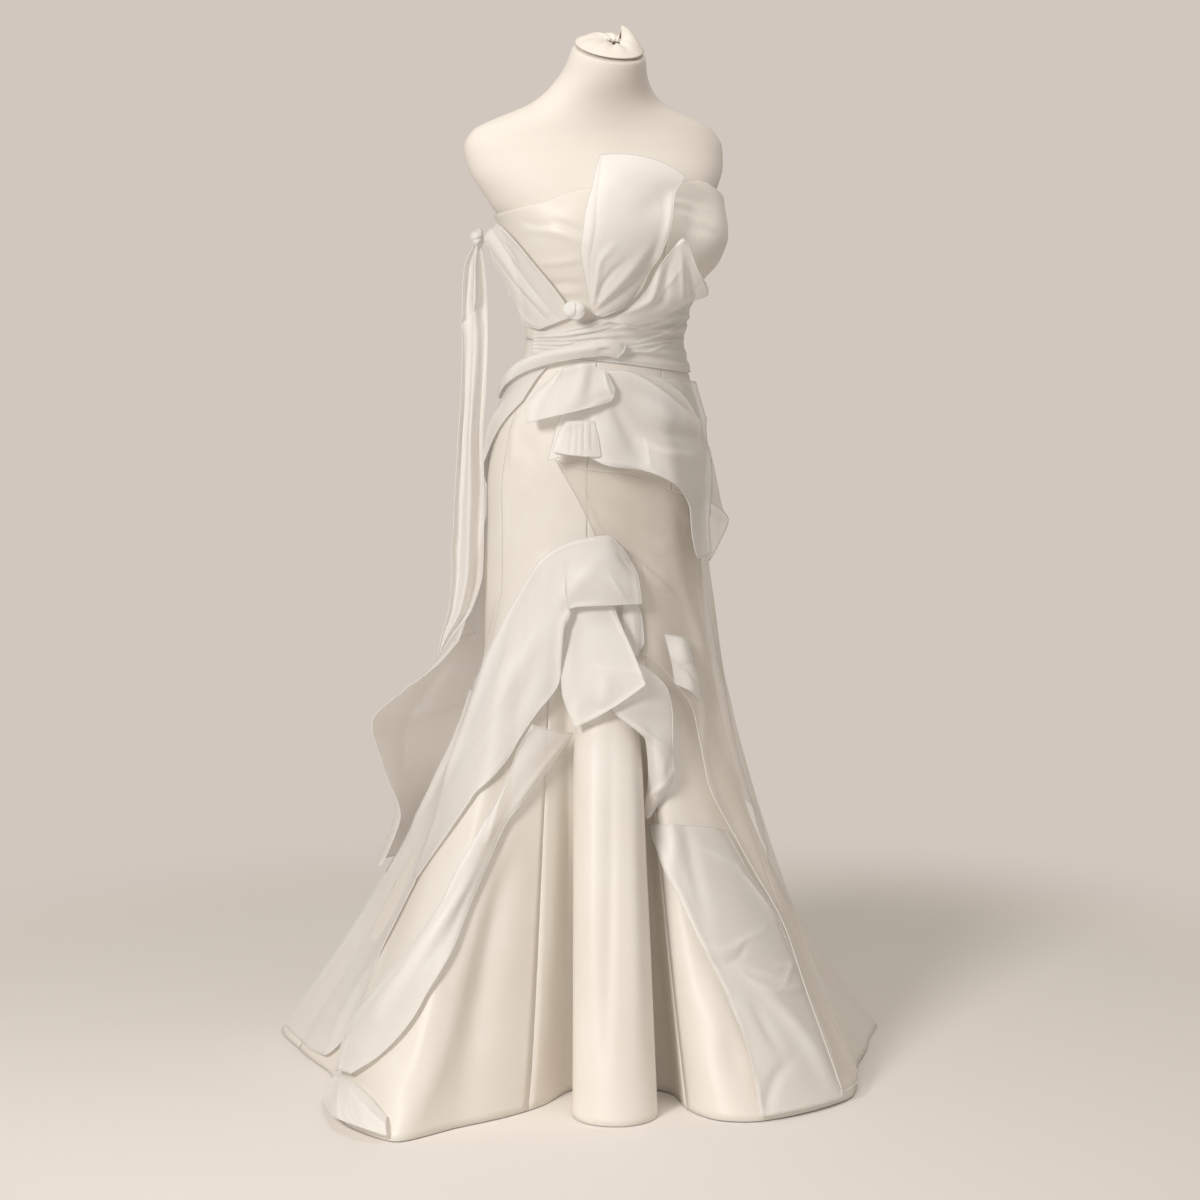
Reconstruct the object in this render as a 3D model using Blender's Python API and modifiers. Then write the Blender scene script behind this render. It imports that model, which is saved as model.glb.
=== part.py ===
"""Wedding dress on a limbless dress form, standing on a round base. Metres, +Z up, front towards -Y.

The origin is the middle of the underside of the base plate. The wearer's right is -X.
A place on the gown is (station, height, out): the station is the angle round the figure in degrees,
0 at the middle of the front and growing towards +X, and out is the distance off the satin.
"""

import math

import bmesh
import bpy
import numpy as np

COLLECTION = "wedding_dress_on_form"

# Cloth and gaps.
SATIN = 0.0016
ORGANZA = 0.0012
SEAM_GAP = 0.0003
WAIST_GAP = 0.0010
KNEE_GAP = 0.0006
EASE = 0.004
FLOOR_GAP = 0.001

# The figure that the form has and the gown is cut to: an ellipse at each height.
# Columns: height, half width, half depth, middle y, middle x.
FIGURE = (
    (0.600, 0.157, 0.140, 0.034, 0.001),
    (0.720, 0.157, 0.140, 0.032, 0.001),
    (0.800, 0.157, 0.128, 0.022, 0.001),
    (0.880, 0.162, 0.121, 0.013, 0.002),
    (0.950, 0.153, 0.112, 0.006, 0.002),
    (1.020, 0.129, 0.100, 0.000, 0.003),
    (1.080, 0.1125, 0.091, -0.003, 0.005),
    (1.130, 0.118, 0.097, -0.007, 0.004),
    (1.190, 0.130, 0.107, -0.011, 0.002),
    (1.240, 0.146, 0.113, -0.009, 0.000),
    (1.290, 0.176, 0.111, 0.001, 0.000),
    (1.330, 0.199, 0.100, 0.012, 0.000),
    (1.360, 0.204, 0.086, 0.020, 0.000),
    (1.385, 0.190, 0.074, 0.022, 0.000),
    (1.405, 0.148, 0.067, 0.020, 0.001),
    (1.420, 0.110, 0.062, 0.015, 0.002),
    (1.440, 0.083, 0.058, 0.006, 0.003),
    (1.470, 0.062, 0.054, -0.010, 0.004),
    (1.500, 0.053, 0.051, -0.022, 0.005),
)

# Rounded mounds laid over the figure. Columns: station, height, width in degrees, spread, rise.
FORM_BUST = ((-38.0, 1.240, 22.0, 0.045, 0.016), (38.0, 1.240, 22.0, 0.045, 0.016))
GOWN_BUST = ((-36.0, 1.235, 26.0, 0.055, 0.024), (44.0, 1.224, 26.0, 0.045, 0.050))

# The plan of the hem on the floor, round the flare.
# Columns: station, hem bearing, hem radius, height where the flare starts, power of its curve.
HEM = (
    (-180.0, -180.0, 0.520, 0.64, 1.30),
    (-150.0, -152.0, 0.510, 0.63, 1.30),
    (-128.0, -131.0, 0.513, 0.62, 1.38),
    (-112.0, -113.0, 0.452, 0.62, 1.38),
    (-98.0, -96.0, 0.420, 0.64, 1.30),
    (-84.0, -80.0, 0.475, 0.70, 1.25),
    (-70.0, -64.0, 0.535, 0.74, 1.20),
    (-60.0, -55.5, 0.550, 0.76, 1.20),
    (-52.0, -50.5, 0.450, 0.78, 1.20),
    (-45.0, -44.5, 0.370, 0.79, 1.25),
    (-39.0, -39.5, 0.300, 0.79, 1.30),
    (-34.0, -36.5, 0.232, 0.79, 1.40),
    (-27.0, -31.0, 0.208, 0.79, 1.40),
    (-15.0, -16.0, 0.212, 0.78, 1.40),
    (-4.0, -3.0, 0.228, 0.78, 1.40),
    (1.0, 0.5, 0.262, 0.78, 1.45),
    (6.0, -2.0, 0.335, 0.78, 1.50),
    (12.0, 0.0, 0.398, 0.78, 1.60),
    (21.0, 8.0, 0.437, 0.78, 1.75),
    (31.0, 19.0, 0.443, 0.78, 1.80),
    (41.0, 29.0, 0.445, 0.78, 1.85),
    (51.0, 41.0, 0.415, 0.84, 1.85),
    (62.0, 54.0, 0.394, 0.88, 2.25),
    (76.0, 71.0, 0.414, 0.90, 2.45),
    (90.0, 85.0, 0.455, 0.90, 2.45),
    (110.0, 106.0, 0.472, 0.88, 2.30),
    (130.0, 129.0, 0.475, 0.74, 1.50),
    (155.0, 155.0, 0.500, 0.68, 1.35),
)


def smooth(xs, ys, x):
    """Reads a curve through the points (xs, ys) that never overshoots them."""
    xs = np.asarray(xs, float)
    ys = np.asarray(ys, float)
    step = np.diff(xs)
    rise = np.diff(ys) / step
    same_way = rise[:-1] * rise[1:] > 0
    safe = np.where(same_way, rise[:-1] + rise[1:], 1.0)
    slope = np.zeros(len(xs))
    slope[1:-1] = np.where(same_way, 2 * rise[:-1] * rise[1:] / safe, 0.0)
    slope[0] = rise[0]
    slope[-1] = rise[-1]
    x = np.clip(x, xs[0], xs[-1])
    i = np.clip(np.searchsorted(xs, x) - 1, 0, len(step) - 1)
    t = (x - xs[i]) / step[i]
    lift = ys[i] + t * t * (3 - 2 * t) * (ys[i + 1] - ys[i])
    return lift + step[i] * t * (1 - t) * ((1 - t) * slope[i] - t * slope[i + 1])


def column(table, index):
    return [row[index] for row in table]


def wrapped(table, index):
    """A column of a table that goes once round, carried on past both ends."""
    turn = 360.0 if index < 2 else 0.0
    values = column(table, index)
    return [v - turn for v in values[-3:]] + values + [v + turn for v in values[:3]]


def around(table, index, station):
    """Reads a column of a table that goes once round, at any station."""
    station = (np.asarray(station, float) + 180.0) % 360.0 - 180.0
    return smooth(wrapped(table, 0), wrapped(table, index), station)


def mounds(table, station, height):
    rise = 0.0
    for middle, level, width, spread, most in table:
        aside = (station - middle + 180.0) % 360.0 - 180.0
        rise = rise + most * np.exp(-((aside / width) ** 2 + ((height - level) / spread) ** 2) / 2)
    return rise


def figure(station, height, grow, bust):
    """A point on the figure, grown outwards all round."""
    heights = column(FIGURE, 0)
    angle = np.radians(station)
    swell = grow + mounds(bust, station, height)
    half_width = smooth(heights, column(FIGURE, 1), height) + swell
    half_depth = smooth(heights, column(FIGURE, 2), height) + swell
    x = smooth(heights, column(FIGURE, 4), height) + half_width * np.sin(angle)
    y = smooth(heights, column(FIGURE, 3), height) - half_depth * np.cos(angle)
    return np.stack([x, y, height + 0 * x], -1)


def satin(station, height):
    """A point on the gown's own surface, from the neckline down to the hem."""
    station, height = np.broadcast_arrays(np.asarray(station, float), np.asarray(height, float))
    fitted = figure(station, height, EASE, GOWN_BUST)
    turn = np.floor((station + 180.0) / 360.0) * 360.0
    bearing = np.radians(around(HEM, 1, station) + turn)
    radius = around(HEM, 2, station)
    start = around(HEM, 3, station)
    share = np.clip((start - height) / start, 0.0, 1.0) ** around(HEM, 4, station)
    hem = np.stack([radius * np.sin(bearing), -radius * np.cos(bearing), height], -1)
    return fitted + (hem - fitted) * share[..., None]


def gown(station, height, out=0.0):
    """A point that stands out from the gown's surface, along its normal."""
    station, height, out = np.broadcast_arrays(
        np.asarray(station, float), np.asarray(height, float), np.asarray(out, float)
    )
    place = satin(station, height)
    turn = 0.5
    rise = 0.002
    along = satin(station + turn, height) - satin(station - turn, height)
    up = satin(station, height + rise) - satin(station, height - rise)
    normal = np.cross(along, up)
    normal /= np.linalg.norm(normal, axis=-1, keepdims=True)
    return place + normal * out[..., None]


# The gown's edges. Columns: station, height.
NECKLINE = (
    (-180.0, 1.205), (-150.0, 1.212), (-120.0, 1.238), (-100.0, 1.262), (-73.0, 1.270), (-47.0, 1.281),
    (-18.0, 1.304), (5.0, 1.302), (23.0, 1.309), (36.0, 1.312), (48.0, 1.300), (70.0, 1.276),
    (95.0, 1.258), (120.0, 1.236), (150.0, 1.212),
)
KNEE_SEAM = (
    (-180.0, 0.540), (-150.0, 0.540), (-120.0, 0.540), (-98.0, 0.552), (-76.0, 0.578), (-64.0, 0.662),
    (-50.0, 0.748), (-36.0, 0.782), (-21.0, 0.790), (-5.0, 0.780), (15.0, 0.740), (40.0, 0.680),
    (70.0, 0.620), (100.0, 0.580), (140.0, 0.550),
)
WAIST_SEAM = 1.082

# Every satin panel has its points on these stations, so that panels meet point to point at their seams.
STATIONS = (
    [-180.0 + 11.0 * step for step in range(6)]
    + [-114.0 + 6.0 * step for step in range(39)]
    + [125.0 + 11.0 * step for step in range(6)]
)
FRONT_SEAM = 24.0
SIDE_SEAM = 78.0
ARM_SEAM = 90.0
BACK_SEAM = 180.0
CUP_SEAM = 12.0
FLARE_SEAMS = (-114.0, -42.0, 6.0, 48.0, 114.0)
BODICE_BACK_ROWS = 4
SKIRT_ROWS = 7
WAIST_CROWDING = 1.5

# Drapery tables. A rising table has a row for each level, from the lowest up, and its columns are
# station, height and out at the left edge, then in the middle, then at the right edge. A running table
# has a row for each place from left to right, and its columns are station, height and out at the lower
# edge, then in the middle, then at the upper edge.
BUST_FAN = (
    (-29.0, 1.128, 0.012, -26.0, 1.126, 0.014, -22.0, 1.124, 0.012),
    (-31.0, 1.165, 0.016, -20.0, 1.158, 0.026, -6.0, 1.150, 0.018),
    (-32.0, 1.210, 0.018, -14.0, 1.206, 0.032, 5.0, 1.206, 0.022),
    (-28.0, 1.255, 0.022, -10.0, 1.254, 0.036, 10.5, 1.243, 0.028),
    (-21.0, 1.295, 0.028, -5.0, 1.290, 0.040, 14.0, 1.277, 0.034),
    (-14.5, 1.329, 0.036, 2.0, 1.321, 0.044, 18.5, 1.297, 0.040),
)
BUST_POINT = (
    (-18.0, 1.122, 0.026, -12.0, 1.120, 0.030, -6.0, 1.116, 0.026),
    (-9.0, 1.145, 0.032, 4.0, 1.140, 0.034, 18.0, 1.134, 0.028),
    (-2.0, 1.166, 0.034, 13.0, 1.158, 0.037, 29.0, 1.158, 0.031),
    (1.0, 1.178, 0.034, 18.0, 1.172, 0.039, 36.0, 1.172, 0.034),
    (5.5, 1.206, 0.036, 14.0, 1.204, 0.040, 23.0, 1.204, 0.038),
    (14.5, 1.229, 0.038, 15.2, 1.230, 0.040, 16.0, 1.230, 0.038),
)
SHOULDER_DRAPE = (
    (-101.0, 1.230, 0.029, -100.0, 1.240, 0.029, -97.0, 1.252, 0.018),
    (-106.0, 1.204, 0.028, -95.0, 1.224, 0.024, -85.0, 1.256, 0.010),
    (-106.0, 1.158, 0.016, -87.0, 1.190, 0.018, -71.0, 1.231, 0.008),
    (-103.0, 1.128, 0.009, -78.0, 1.150, 0.014, -59.0, 1.193, 0.008),
    (-88.0, 1.106, 0.007, -66.0, 1.124, 0.012, -48.0, 1.152, 0.008),
    (-70.0, 1.102, 0.007, -56.0, 1.112, 0.010, -42.0, 1.124, 0.008),
)
WAIST_WRAP = (
    (-79.0, 1.062, 0.003, -79.0, 1.080, 0.004, -78.0, 1.094, 0.003),
    (-55.0, 1.060, 0.004, -55.0, 1.082, 0.007, -55.0, 1.100, 0.004),
    (-30.0, 1.056, 0.004, -30.0, 1.086, 0.008, -30.0, 1.112, 0.004),
    (-5.0, 1.050, 0.004, -5.0, 1.088, 0.006, -5.0, 1.128, 0.005),
    (25.0, 1.040, 0.004, 25.0, 1.088, 0.005, 25.0, 1.142, 0.005),
    (60.0, 1.030, 0.004, 60.0, 1.086, 0.004, 60.0, 1.148, 0.004),
    (100.0, 1.028, 0.004, 100.0, 1.084, 0.004, 100.0, 1.146, 0.004),
    (140.0, 1.032, 0.004, 140.0, 1.080, 0.005, 140.0, 1.132, 0.004),
    (174.0, 1.040, 0.003, 174.0, 1.078, 0.004, 174.0, 1.118, 0.003),
)
WAIST_SASH = (
    (-175.0, 1.022, 0.010, -175.0, 1.034, 0.013, -175.0, 1.046, 0.010),
    (-148.0, 0.996, 0.011, -148.0, 1.008, 0.015, -148.0, 1.020, 0.011),
    (-118.0, 0.988, 0.012, -118.0, 1.000, 0.017, -118.0, 1.012, 0.012),
    (-95.0, 1.012, 0.014, -95.0, 1.026, 0.020, -95.0, 1.038, 0.014),
    (-70.0, 1.036, 0.016, -71.0, 1.048, 0.023, -72.0, 1.058, 0.016),
    (-40.0, 1.056, 0.018, -40.0, 1.068, 0.026, -40.0, 1.080, 0.018),
    (-22.0, 1.062, 0.018, -21.0, 1.077, 0.026, -20.0, 1.091, 0.018),
    (-12.0, 1.058, 0.016, -9.0, 1.068, 0.022, -7.0, 1.079, 0.016),
)
HIP_DRAPE_RIGHT = (
    (-175.0, 0.806, 0.006, -175.0, 0.910, 0.008, -175.0, 1.012, 0.004),
    (-150.0, 0.820, 0.008, -150.0, 0.925, 0.010, -150.0, 1.020, 0.004),
    (-125.0, 0.858, 0.008, -124.0, 0.942, 0.010, -120.0, 1.022, 0.004),
    (-106.0, 0.896, 0.008, -103.0, 0.968, 0.010, -96.0, 1.030, 0.004),
    (-89.0, 0.950, 0.007, -84.0, 0.998, 0.009, -78.0, 1.038, 0.004),
    (-72.0, 0.994, 0.006, -66.0, 1.024, 0.007, -60.0, 1.044, 0.004),
)
BOW_FAN = (
    (-56.0, 0.962, 0.034, -40.0, 0.974, 0.044, -16.0, 0.996, 0.030),
    (-60.0, 0.985, 0.028, -40.0, 0.995, 0.042, -14.0, 1.012, 0.028),
    (-57.0, 1.012, 0.020, -40.0, 1.020, 0.034, -17.0, 1.030, 0.020),
    (-50.0, 1.040, 0.010, -40.0, 1.046, 0.014, -28.0, 1.050, 0.010),
)
BOW_LOOP = (
    (-41.0, 0.926, 0.040, -31.0, 0.922, 0.050, -20.0, 0.920, 0.044),
    (-40.0, 0.945, 0.034, -31.0, 0.945, 0.044, -21.0, 0.944, 0.036),
    (-37.0, 0.966, 0.024, -30.0, 0.968, 0.028, -23.0, 0.968, 0.026),
)
PEPLUM = (
    (-43.0, 0.914, 0.040, -42.0, 0.960, 0.014, -40.0, 1.006, 0.006),
    (-30.0, 0.923, 0.032, -30.0, 0.975, 0.012, -30.0, 1.030, 0.006),
    (-16.0, 0.907, 0.046, -15.0, 0.975, 0.026, -14.0, 1.040, 0.008),
    (-2.0, 0.900, 0.036, -1.0, 0.972, 0.022, 0.0, 1.036, 0.008),
    (12.0, 0.882, 0.048, 13.0, 0.962, 0.026, 15.0, 1.030, 0.008),
    (24.0, 0.852, 0.034, 27.0, 0.945, 0.018, 32.0, 1.024, 0.008),
    (36.0, 0.760, 0.026, 44.0, 0.900, 0.014, 52.0, 1.018, 0.007),
    (60.0, 0.760, 0.018, 64.0, 0.890, 0.010, 72.0, 1.012, 0.007),
)
PEPLUM_CORNER = (
    (66.0, 0.745, 0.013, 66.0, 0.810, 0.013, 70.0, 0.900, 0.009),
    (74.0, 0.772, 0.030, 74.0, 0.818, 0.026, 78.0, 0.910, 0.009),
    (84.0, 0.806, 0.048, 84.0, 0.832, 0.036, 90.0, 0.920, 0.009),
    (108.0, 0.836, 0.030, 108.0, 0.870, 0.024, 110.0, 0.930, 0.010),
    (134.0, 0.846, 0.012, 134.0, 0.886, 0.014, 134.0, 0.975, 0.006),
    (174.0, 0.820, 0.008, 174.0, 0.910, 0.012, 174.0, 1.022, 0.004),
)
SIDE_OVERLAY = (
    (-2.0, 0.640, 0.005, -20.0, 0.800, 0.005, -42.0, 0.914, 0.004),
    (8.0, 0.620, 0.008, -4.0, 0.770, 0.006, -26.0, 0.900, 0.004),
    (18.0, 0.585, 0.010, 14.0, 0.730, 0.006, 0.0, 0.890, 0.004),
    (27.0, 0.530, 0.014, 27.0, 0.690, 0.007, 15.0, 0.872, 0.004),
    (26.5, 0.440, 0.016, 34.0, 0.640, 0.009, 28.0, 0.858, 0.004),
    (33.0, 0.348, 0.018, 42.0, 0.580, 0.013, 40.0, 0.850, 0.004),
    (42.0, 0.222, 0.018, 47.0, 0.530, 0.016, 50.0, 0.846, 0.004),
    (40.0, 0.100, 0.018, 51.0, 0.500, 0.018, 58.0, 0.846, 0.004),
    (38.0, 0.010, 0.016, 55.0, 0.475, 0.019, 66.0, 0.850, 0.004),
    (48.0, 0.012, 0.012, 60.0, 0.460, 0.019, 73.0, 0.855, 0.004),
    (52.0, 0.140, 0.011, 66.0, 0.460, 0.018, 79.0, 0.858, 0.004),
    (58.0, 0.270, 0.011, 73.0, 0.500, 0.016, 85.0, 0.860, 0.004),
    (72.0, 0.330, 0.010, 82.0, 0.540, 0.012, 90.0, 0.860, 0.004),
    (92.0, 0.360, 0.008, 93.0, 0.600, 0.008, 96.0, 0.860, 0.004),
)
KNEE_ARCH = (
    (-122.0, 0.012, 0.006, -123.0, 0.290, 0.006, -124.0, 0.546, 0.005),
    (-112.0, 0.010, 0.006, -110.0, 0.290, 0.006, -110.0, 0.550, 0.005),
    (-102.0, 0.016, 0.006, -97.0, 0.300, 0.006, -96.0, 0.560, 0.005),
    (-92.0, 0.110, 0.006, -88.0, 0.340, 0.006, -85.0, 0.576, 0.005),
    (-84.0, 0.215, 0.006, -80.0, 0.390, 0.006, -76.0, 0.600, 0.005),
    (-77.0, 0.308, 0.006, -73.0, 0.450, 0.007, -69.0, 0.640, 0.005),
    (-69.0, 0.372, 0.007, -66.0, 0.510, 0.009, -63.0, 0.684, 0.006),
    (-61.0, 0.432, 0.008, -59.0, 0.570, 0.012, -57.0, 0.722, 0.007),
    (-54.0, 0.490, 0.010, -52.0, 0.630, 0.018, -51.0, 0.754, 0.008),
    (-47.0, 0.550, 0.018, -46.0, 0.680, 0.023, -46.0, 0.772, 0.009),
    (-41.0, 0.590, 0.024, -41.0, 0.710, 0.027, -41.0, 0.782, 0.009),
    (-40.0, 0.640, 0.028, -37.0, 0.737, 0.030, -36.0, 0.790, 0.010),
    (-37.0, 0.690, 0.033, -32.0, 0.755, 0.033, -30.0, 0.796, 0.011),
    (-28.0, 0.703, 0.036, -26.0, 0.762, 0.035, -24.0, 0.800, 0.012),
    (-18.0, 0.704, 0.038, -17.0, 0.764, 0.036, -15.0, 0.803, 0.012),
    (-8.0, 0.704, 0.036, -8.0, 0.752, 0.032, -7.0, 0.782, 0.014),
    (0.0, 0.703, 0.030, -1.0, 0.732, 0.026, -2.0, 0.758, 0.014),
)
KNEE_TAB = (
    (-4.5, 0.628, 0.012, -2.0, 0.626, 0.016, 0.5, 0.624, 0.012),
    (-6.0, 0.652, 0.012, -1.0, 0.650, 0.018, 4.5, 0.645, 0.014),
    (-7.0, 0.676, 0.011, -2.0, 0.676, 0.018, 3.5, 0.674, 0.014),
    (-7.0, 0.705, 0.008, -3.0, 0.708, 0.012, 1.0, 0.705, 0.009),
)
SIDE_FOLD = (
    (16.0, 0.580, 0.022, 22.0, 0.566, 0.027, 28.0, 0.552, 0.024),
    (15.5, 0.604, 0.022, 22.0, 0.593, 0.029, 28.5, 0.580, 0.024),
    (15.0, 0.628, 0.018, 21.0, 0.621, 0.026, 27.5, 0.610, 0.020),
    (14.0, 0.652, 0.015, 20.5, 0.646, 0.020, 27.0, 0.638, 0.016),
)
SIDE_CASCADE = (
    (20.0, 0.004, 0.009, 29.0, 0.004, 0.012, 39.0, 0.004, 0.008),
    (21.0, 0.080, 0.009, 31.0, 0.075, 0.014, 42.0, 0.070, 0.008),
    (19.5, 0.150, 0.009, 31.0, 0.150, 0.015, 43.5, 0.150, 0.008),
    (15.0, 0.235, 0.009, 29.0, 0.235, 0.014, 44.0, 0.235, 0.008),
    (9.5, 0.315, 0.008, 24.0, 0.312, 0.012, 38.0, 0.305, 0.007),
    (4.0, 0.386, 0.007, 19.0, 0.382, 0.009, 34.0, 0.366, 0.006),
)
HEM_STRIP = (
    (-80.0, 0.046, 0.011, -78.0, 0.052, 0.015, -74.0, 0.058, 0.011),
    (-85.0, 0.090, 0.012, -77.0, 0.096, 0.018, -67.0, 0.100, 0.010),
    (-78.0, 0.150, 0.012, -70.0, 0.156, 0.018, -61.0, 0.160, 0.010),
    (-70.0, 0.215, 0.012, -64.0, 0.220, 0.018, -58.5, 0.226, 0.010),
    (-62.0, 0.300, 0.012, -59.5, 0.304, 0.018, -56.5, 0.306, 0.010),
    (-58.0, 0.385, 0.013, -56.0, 0.385, 0.018, -53.5, 0.385, 0.012),
    (-53.0, 0.480, 0.021, -48.0, 0.471, 0.022, -43.0, 0.466, 0.014),
    (-49.0, 0.530, 0.028, -42.0, 0.521, 0.024, -35.0, 0.516, 0.014),
)
BACK_WING = (
    (-120.0, 0.262, 0.020, -132.0, 0.258, 0.022, -152.0, 0.250, 0.010),
    (-118.0, 0.335, 0.032, -132.0, 0.325, 0.034, -154.0, 0.320, 0.010),
    (-116.0, 0.398, 0.094, -130.0, 0.392, 0.060, -156.0, 0.385, 0.010),
    (-114.0, 0.458, 0.136, -129.0, 0.455, 0.084, -156.0, 0.460, 0.010),
    (-114.0, 0.502, 0.118, -129.0, 0.512, 0.076, -156.0, 0.535, 0.010),
    (-114.0, 0.545, 0.086, -129.0, 0.570, 0.062, -156.0, 0.605, 0.010),
    (-115.0, 0.588, 0.058, -130.0, 0.630, 0.048, -155.0, 0.680, 0.010),
    (-117.0, 0.660, 0.030, -132.0, 0.715, 0.032, -152.0, 0.760, 0.010),
    (-124.0, 0.850, 0.0045, -136.0, 0.840, 0.0045, -150.0, 0.826, 0.0045),
)
HEM_PETALS = (
    (-82.0, 0.004, 0.010, -82.0, 0.018, 0.013, -82.0, 0.032, 0.010),
    (-77.0, 0.004, 0.014, -77.0, 0.022, 0.018, -78.0, 0.044, 0.013),
    (-71.0, 0.004, 0.026, -71.0, 0.024, 0.025, -73.0, 0.050, 0.015),
    (-65.0, 0.004, 0.030, -66.0, 0.022, 0.026, -68.0, 0.044, 0.012),
    (-60.5, 0.004, 0.012, -61.0, 0.014, 0.014, -62.0, 0.026, 0.008),
)

# The pieces that hang free, facing forwards to the right. A hanging table has a row for each level, from
# the lowest up, and its columns are the distance aside from the axis, the height and the distance
# forwards at the left edge, then in the middle, then at the right edge.
HANGING_BEARING = -24.0
KNEE_FLAP = (
    (-0.036, 0.535, 0.200, 0.011, 0.560, 0.209, 0.065, 0.596, 0.200),
    (-0.056, 0.583, 0.182, -0.003, 0.594, 0.199, 0.056, 0.619, 0.189),
    (-0.058, 0.620, 0.158, -0.009, 0.629, 0.180, 0.045, 0.643, 0.172),
    (-0.053, 0.653, 0.144, -0.013, 0.664, 0.156, 0.030, 0.674, 0.151),
    (-0.046, 0.701, 0.133, -0.014, 0.708, 0.140, 0.016, 0.710, 0.132),
)
SECOND_FLAP = (
    (0.067, 0.398, 0.176, 0.071, 0.398, 0.179, 0.077, 0.405, 0.176),
    (0.068, 0.450, 0.178, 0.085, 0.449, 0.186, 0.106, 0.459, 0.170),
    (0.065, 0.514, 0.190, 0.084, 0.502, 0.190, 0.106, 0.500, 0.170),
    (0.019, 0.560, 0.195, 0.058, 0.552, 0.190, 0.106, 0.540, 0.158),
    (0.035, 0.586, 0.182, 0.062, 0.588, 0.176, 0.098, 0.580, 0.150),
    (0.017, 0.612, 0.166, 0.037, 0.616, 0.160, 0.062, 0.618, 0.144),
)

# The tail that hangs from the side knot. Columns: height, distance of its middle aside from the axis,
# distance forwards, half width, fold depth.
TAIL = (
    (0.612, -0.240, 0.020, 0.001, 0.001),
    (0.640, -0.228, 0.020, 0.008, 0.004),
    (0.680, -0.208, 0.020, 0.017, 0.009),
    (0.740, -0.197, 0.020, 0.023, 0.012),
    (0.830, -0.194, 0.020, 0.022, 0.010),
    (0.930, -0.192, 0.020, 0.018, 0.012),
    (1.000, -0.188, 0.020, 0.017, 0.009),
    (1.092, -0.184, 0.016, 0.018, 0.004),
    (1.150, -0.184, 0.014, 0.018, 0.012),
    (1.185, -0.184, 0.012, 0.015, 0.010),
    (1.218, -0.180, 0.010, 0.005, 0.003),
)

# The organ-pipe fold at the front. Columns: height, reach of its round axis beyond the flare, radius.
TUBE_BEARING = -20.4
TUBE = (
    (0.001, 0.130, 0.0590),
    (0.200, 0.098, 0.0545),
    (0.350, 0.066, 0.0510),
    (0.480, 0.034, 0.0480),
    (0.560, 0.010, 0.0400),
)
TUBE_ARC = 112.0
TUBE_ARC_SHARE = 0.72
TUBE_ROOT_TURN = 7.0
TUBE_CLEARANCE = 0.0042
TUBE_BACKING = np.arange(-40.0, 1.0, 2.0)

# The lapped strip down the middle of the back. Its half width is in degrees of station.
PLACKET_HALF_WIDTH = 4.0
PLACKET_OUT = 0.0024
PLACKET_FIRST_ROW = 2

# Dress form. Its end rings close it below and at the slanted neck. Columns: height, share of the figure.
FORM_BOTTOM = 0.800
FORM_TOP = 1.500
FORM_LOW_RINGS = ((0.800, 0.0), (0.800, 0.5), (0.800, 0.97))
FORM_BODY_STEP = 0.058
FORM_SHOULDER_RINGS = (
    (1.356, 1.0), (1.380, 1.0), (1.396, 1.0), (1.410, 1.0), (1.426, 1.0), (1.446, 1.0), (1.472, 1.0),
)
FORM_END_RINGS = ((1.496, 0.985), (1.500, 0.90), (1.500, 0.45), (1.500, 0.0))
FORM_COLUMNS = 28
NECK_SLANT = 0.36
NECK_SLANT_START = 1.43

# The gathered end of the jersey over the neck: its middle, radii, fold heights and its twisted tuft.
NECK_MIDDLE = (0.005, -0.022)
NECK_COVER_RADIUS = 0.050
NECK_HOLE_RADIUS = 0.010
NECK_HOLE_SHIFT = 0.008
NECK_COVER_GAP = 0.004
NECK_COVER_RISE = 0.010
NECK_GATHERS = 9
NECK_GATHER_RISE = 0.0022
TUFT_BEARING = 1.4
TUFT_SPREAD = 0.55
TUFT_RISE = 0.024

# Stand.
POLE_RADIUS = 0.0125
BASE_RADIUS = 0.185
BASE_HEIGHT = 0.012
BASE_EDGE = 0.003

# Knots. Columns: station, height, out, half sizes aside, outwards and upwards.
SIDE_KNOT = (-112.0, 1.246, 0.039, 0.012, 0.010, 0.013)
WAIST_KNOT = (-38.5, 1.140, 0.026, 0.017, 0.008, 0.013)


def across_three(first, middle, last, share):
    """A curve through three values, at 0, a half and 1."""
    ends = first * (1 - share) * (1 - 2 * share) + last * share * (2 * share - 1)
    return ends + middle * 4 * share * (1 - share)


def facing(bearing, aside, height, forward):
    """A point given by its distances aside and forwards in a frame turned to a bearing."""
    turn = math.radians(bearing)
    aside, height, forward = np.broadcast_arrays(aside, height, forward)
    x = aside * math.cos(turn) + forward * math.sin(turn)
    y = aside * math.sin(turn) - forward * math.cos(turn)
    return np.stack([x, y, height], -1).astype(float)


def read_table(table, along, across):
    """The three measures of a table at a share of the way along its rows and across its three guides."""
    rows = np.linspace(0.0, 1.0, len(table))
    found = []
    for kind in range(3):
        guides = [smooth(rows, column(table, 3 * guide + kind), along) for guide in range(3)]
        found.append(across_three(*guides, across))
    return found


def level(edge, station):
    """The height of one of the gown's edges, which runs straight from each panel station to the next."""
    stations = column(edge, 0)
    heights = column(edge, 1)
    stations = [s - 360.0 for s in stations[-3:]] + stations + [s + 360.0 for s in stations[:3]]
    heights = heights[-3:] + heights + heights[:3]
    return np.interp(station, STATIONS, smooth(stations, heights, STATIONS))


# ---- Blender objects


def clear_scene():
    for thing in list(bpy.data.objects):
        bpy.data.objects.remove(thing, do_unlink=True)


def principled(name, colour, roughness, metallic=0.0):
    material = bpy.data.materials.new(name)
    material.use_nodes = True
    shader = material.node_tree.nodes["Principled BSDF"]
    shader.inputs["Base Color"].default_value = (*colour, 1.0)
    shader.inputs["Roughness"].default_value = roughness
    shader.inputs["Metallic"].default_value = metallic
    material.diffuse_color = (*colour, 1.0)
    return material


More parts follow.
